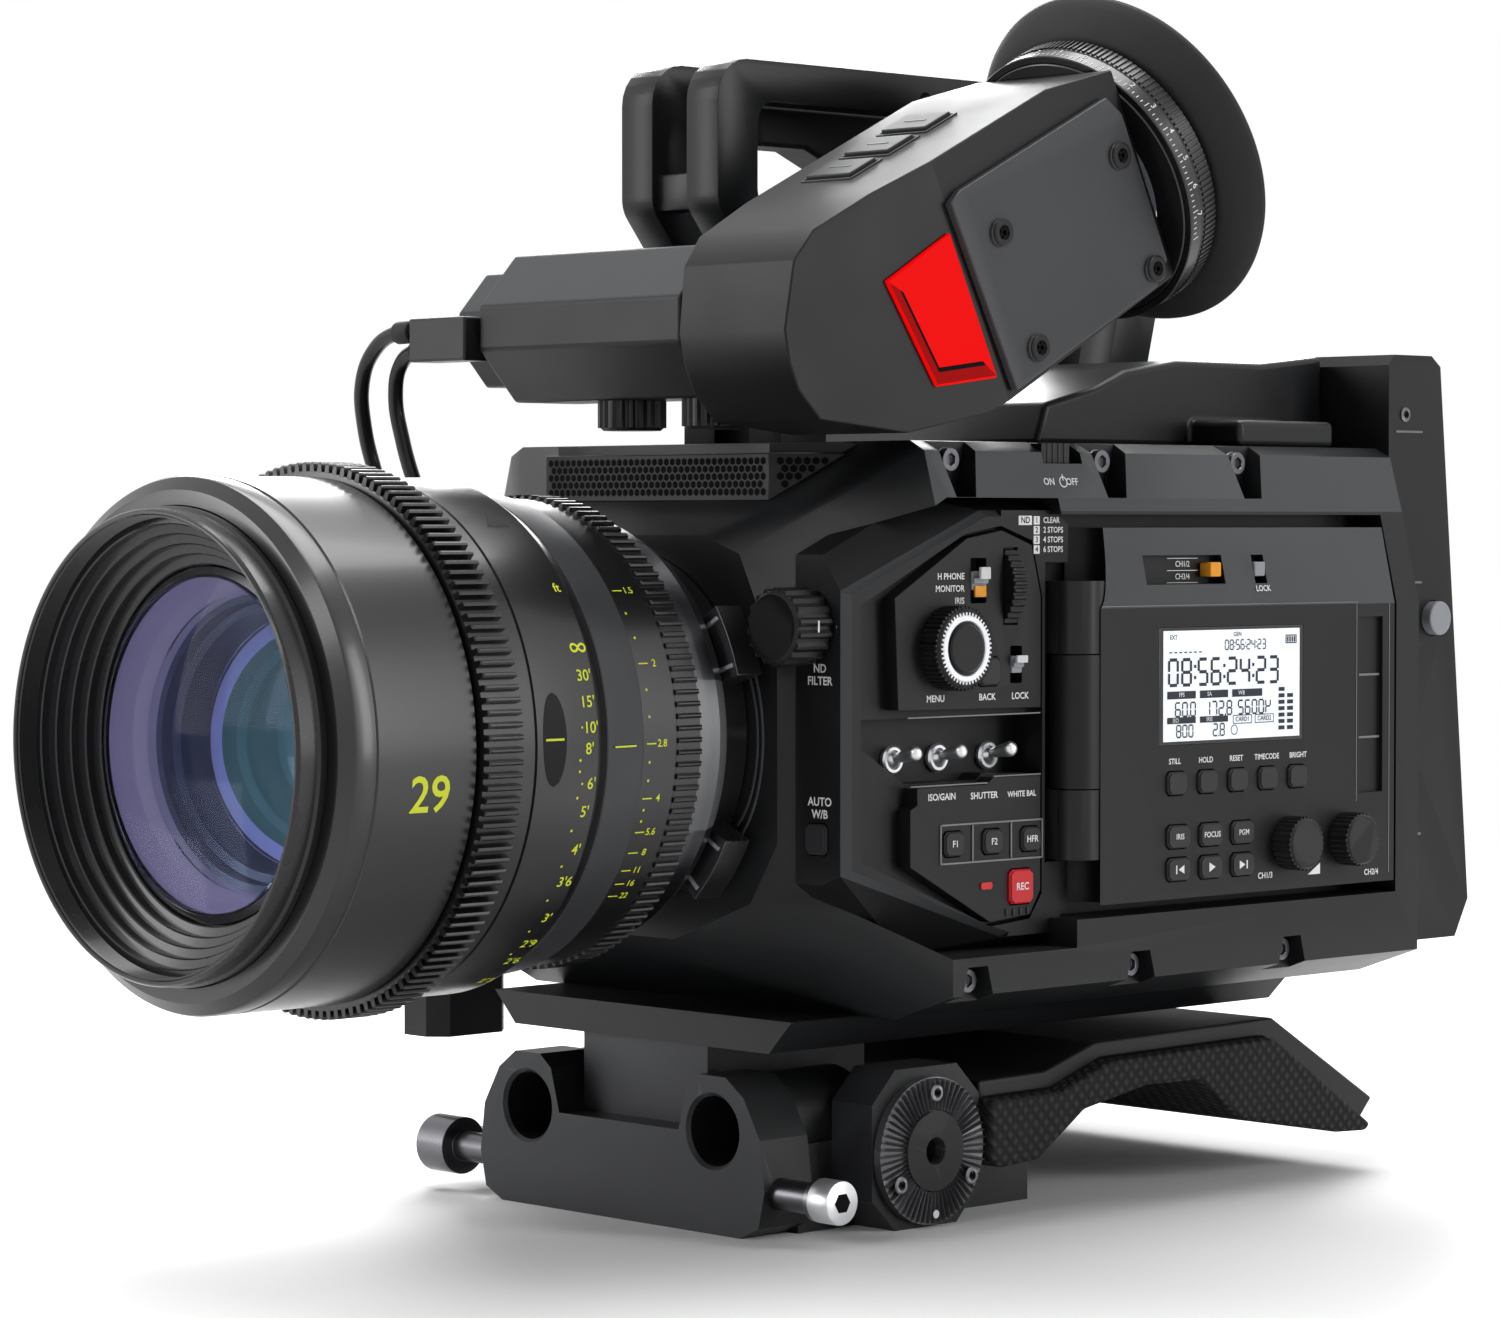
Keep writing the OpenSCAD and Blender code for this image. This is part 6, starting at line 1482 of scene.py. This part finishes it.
def make_stage():
    """A pale floor, a white surround and soft light, with the camera at the photograph's view."""
    settings = bpy.context.scene.camera_stage
    material, nodes, links, shader = new_material("floor_pale")
    glow = nodes.new("ShaderNodeEmission")
    coords = nodes.new("ShaderNodeTexCoord")
    reach = nodes.new("ShaderNodeVectorMath")
    reach.operation = "LENGTH"
    fade = nodes.new("ShaderNodeMapRange")
    fade.interpolation_type = "SMOOTHSTEP"
    fade.inputs["From Min"].default_value = 0.30
    fade.inputs["From Max"].default_value = 1.30
    blend = nodes.new("ShaderNodeMixShader")
    out = next(n for n in nodes if n.type == "OUTPUT_MATERIAL")
    links.new(coords.outputs["Object"], reach.inputs[0])
    links.new(reach.outputs["Value"], fade.inputs["Value"])
    both = nodes.new("ShaderNodeMath")
    both.operation = "MULTIPLY"
    links.new(fade.outputs[0], both.inputs[0])
    links.new(seen_rays(nodes, links), both.inputs[1])
    links.new(both.outputs[0], blend.inputs[0])
    links.new(shader.outputs[0], blend.inputs[1])
    links.new(glow.outputs[0], blend.inputs[2])
    links.new(blend.outputs[0], out.inputs[0])
    shader.inputs["Base Color"].default_value = (*settings.floor, 1.0)
    shader.inputs["Roughness"].default_value = 0.55
    shader.inputs["Specular IOR Level"].default_value = 0.25
    bm = bmesh.new()
    bmesh.ops.create_grid(bm, x_segments=8, y_segments=8, size=12.0)
    mesh = bpy.data.meshes.new("floor")
    bm.to_mesh(mesh)
    bm.free()
    floor = bpy.data.objects.new("floor", mesh)
    bpy.context.scene.collection.objects.link(floor)
    mesh.materials.append(material)
    world = bpy.data.worlds.new("surround")
    bpy.context.scene.world = world
    world.use_nodes = True
    nodes = world.node_tree.nodes
    links = world.node_tree.links
    nodes.clear()
    out = nodes.new("ShaderNodeOutputWorld")
    seen = nodes.new("ShaderNodeBackground")
    seen.inputs["Color"].default_value = (1.0, 1.0, 1.0, 1.0)
    seen.inputs["Strength"].default_value = 1.0
    lit = nodes.new("ShaderNodeBackground")
    lit.inputs["Color"].default_value = (1.0, 1.0, 1.0, 1.0)
    lit.inputs["Strength"].default_value = 0.12
    mix = nodes.new("ShaderNodeMixShader")
    links.new(seen_rays(nodes, links), mix.inputs[0])
    links.new(lit.outputs[0], mix.inputs[1])
    links.new(seen.outputs[0], mix.inputs[2])
    links.new(mix.outputs[0], out.inputs[0])

    def softbox(name, spot, target, size, power, colour=(1.0, 1.0, 1.0)):
        light = bpy.data.lights.new(name, "AREA")
        light.shape = "RECTANGLE"
        light.size, light.size_y = size
        light.energy = power
        light.color = colour
        lamp = bpy.data.objects.new(name, light)
        lamp.location = spot
        lamp.rotation_euler = (Vector(target) - Vector(spot)).to_track_quat("-Z", "Y").to_euler()
        bpy.context.scene.collection.objects.link(lamp)
    middle = (0.0, 0.0, 0.12)
    power = settings.key_power
    softbox("top_box", (-0.15, 0.25, 1.30), middle, (1.1, 0.8), power * 0.85)
    softbox("side_box", (1.55, 0.75, 0.62), (0.0, 0.1, 0.12), (0.45, 1.3), power * 0.62)
    softbox("front_box", (-0.95, -1.15, 0.62), (0.0, -0.1, 0.1), (0.5, 1.1), power * 0.5)
    softbox("rim_box", (-1.0, 1.0, 0.8), middle, (0.9, 0.5), power * 0.8)
    softbox("eye_box", (0.25, -1.45, 0.95), (0.0, -0.12, 0.1), (0.35, 0.5), power * 0.18)
    lens = bpy.data.cameras.new("view_camera")
    lens.lens = 108.7
    lens.sensor_width = 36.0
    lens.clip_start = 0.05
    lens.clip_end = 30.0
    eye = bpy.data.objects.new("view_camera", lens)
    eye.location = (0.7292, -0.6874, 0.1517)
    eye.rotation_euler = (math.radians(90.0 - 1.73), 0.0, math.radians(46.2))
    bpy.context.scene.collection.objects.link(eye)
    bpy.context.scene.camera = eye
    bpy.context.scene.view_settings.view_transform = "Standard"


# Operators

class CAMERA_OT_stage(bpy.types.Operator):
    """Floor, surround, soft light and the camera"""
    bl_idname = "camera_build.stage"
    bl_label = "Build the stage"
    bl_options = {"REGISTER", "UNDO"}

    def execute(self, context):
        make_stage()
        return {"FINISHED"}


class CAMERA_OT_lens(bpy.types.Operator):
    """Barrel, glass, rings, scales and mount"""
    bl_idname = "camera_build.lens"
    bl_label = "Build the lens"
    bl_options = {"REGISTER", "UNDO"}

    def execute(self, context):
        make_barrel()
        make_glass()
        make_focus_ring()
        make_iris_ring()
        make_lens_marks()
        make_mount()
        return {"FINISHED"}


class CAMERA_OT_housings(bpy.types.Operator):
    """The housings, keys and knobs with rounded edges"""
    bl_idname = "camera_build.housings"
    bl_label = "Build the housings"
    bl_options = {"REGISTER", "UNDO"}

    def execute(self, context):
        make_housings()
        return {"FINISHED"}


class CAMERA_OT_handle(bpy.types.Operator):
    """Side plates, spacers and sockets"""
    bl_idname = "camera_build.handle"
    bl_label = "Build the handle"
    bl_options = {"REGISTER", "UNDO"}

    def execute(self, context):
        make_handle()
        return {"FINISHED"}


class CAMERA_OT_controls(bpy.types.Operator):
    """Lettering, display, wheel rings and key frames"""
    bl_idname = "camera_build.controls"
    bl_label = "Build the control side"
    bl_options = {"REGISTER", "UNDO"}

    def execute(self, context):
        make_panel_labels()
        make_display()
        make_door_labels()
        make_small_fittings()
        make_screws()
        return {"FINISHED"}


class CAMERA_OT_finder(bpy.types.Operator):
    """Eyepiece, scale, signal lamp and leads"""
    bl_idname = "camera_build.finder"
    bl_label = "Build the viewfinder"
    bl_options = {"REGISTER", "UNDO"}

    def execute(self, context):
        make_eyepiece()
        make_tally()
        make_leads()
        return {"FINISHED"}


class CAMERA_OT_base(bpy.types.Operator):
    """Grille, clamp head and shoulder pad"""
    bl_idname = "camera_build.base"
    bl_label = "Build the base and the grille"
    bl_options = {"REGISTER", "UNDO"}

    def execute(self, context):
        make_grille()
        make_base_fittings()
        make_pad()
        return {"FINISHED"}


class CAMERA_OT_details(bpy.types.Operator):
    """Painted bands and painted highlights, ribs, frames, screws, and recesses as painted shade"""
    bl_idname = "camera_build.details"
    bl_label = "Build the last details"
    bl_options = {"REGISTER", "UNDO"}

    def execute(self, context):
        make_painted_faces()
        make_nose_ribs()
        make_finder_details()
        make_plate_details()
        make_lens_recesses()
        make_far_side()
        return {"FINISHED"}


OPERATORS = (CAMERA_OT_stage, CAMERA_OT_lens, CAMERA_OT_housings, CAMERA_OT_handle, CAMERA_OT_controls,
             CAMERA_OT_finder, CAMERA_OT_base, CAMERA_OT_details)


class CAMERA_PT_panel(bpy.types.Panel):
    """Lists the build steps and their settings."""
    bl_label = "Cinema camera"
    bl_idname = "CAMERA_PT_panel"
    bl_space_type = "VIEW_3D"
    bl_region_type = "UI"
    bl_category = "Camera"

    def draw(self, context):
        for group in ("camera_lens", "camera_body", "camera_labels", "camera_stage"):
            settings = getattr(context.scene, group)
            for key in settings.bl_rna.properties.keys():
                if key not in ("rna_type", "name"):
                    self.layout.prop(settings, key)
        for one in OPERATORS:
            self.layout.operator(one.bl_idname)


GROUPS = (("camera_lens", LensSettings), ("camera_body", BodySettings), ("camera_labels", LabelSettings),
          ("camera_stage", StageSettings))


def register():
    """Registers the settings, the operators and the panel."""
    for name, group in GROUPS:
        bpy.utils.register_class(group)
        setattr(bpy.types.Scene, name, PointerProperty(type=group))
    for one in OPERATORS:
        bpy.utils.register_class(one)
    bpy.utils.register_class(CAMERA_PT_panel)


def unregister():
    """Takes back what register added."""
    bpy.utils.unregister_class(CAMERA_PT_panel)
    for one in reversed(OPERATORS):
        bpy.utils.unregister_class(one)
    for name, group in reversed(GROUPS):
        delattr(bpy.types.Scene, name)
        bpy.utils.unregister_class(group)


def main():
    register()
    for one in OPERATORS:
        step = getattr(bpy.ops.camera_build, one.bl_idname.split(".")[1])
        step()


if __name__ == "__main__":
    main()
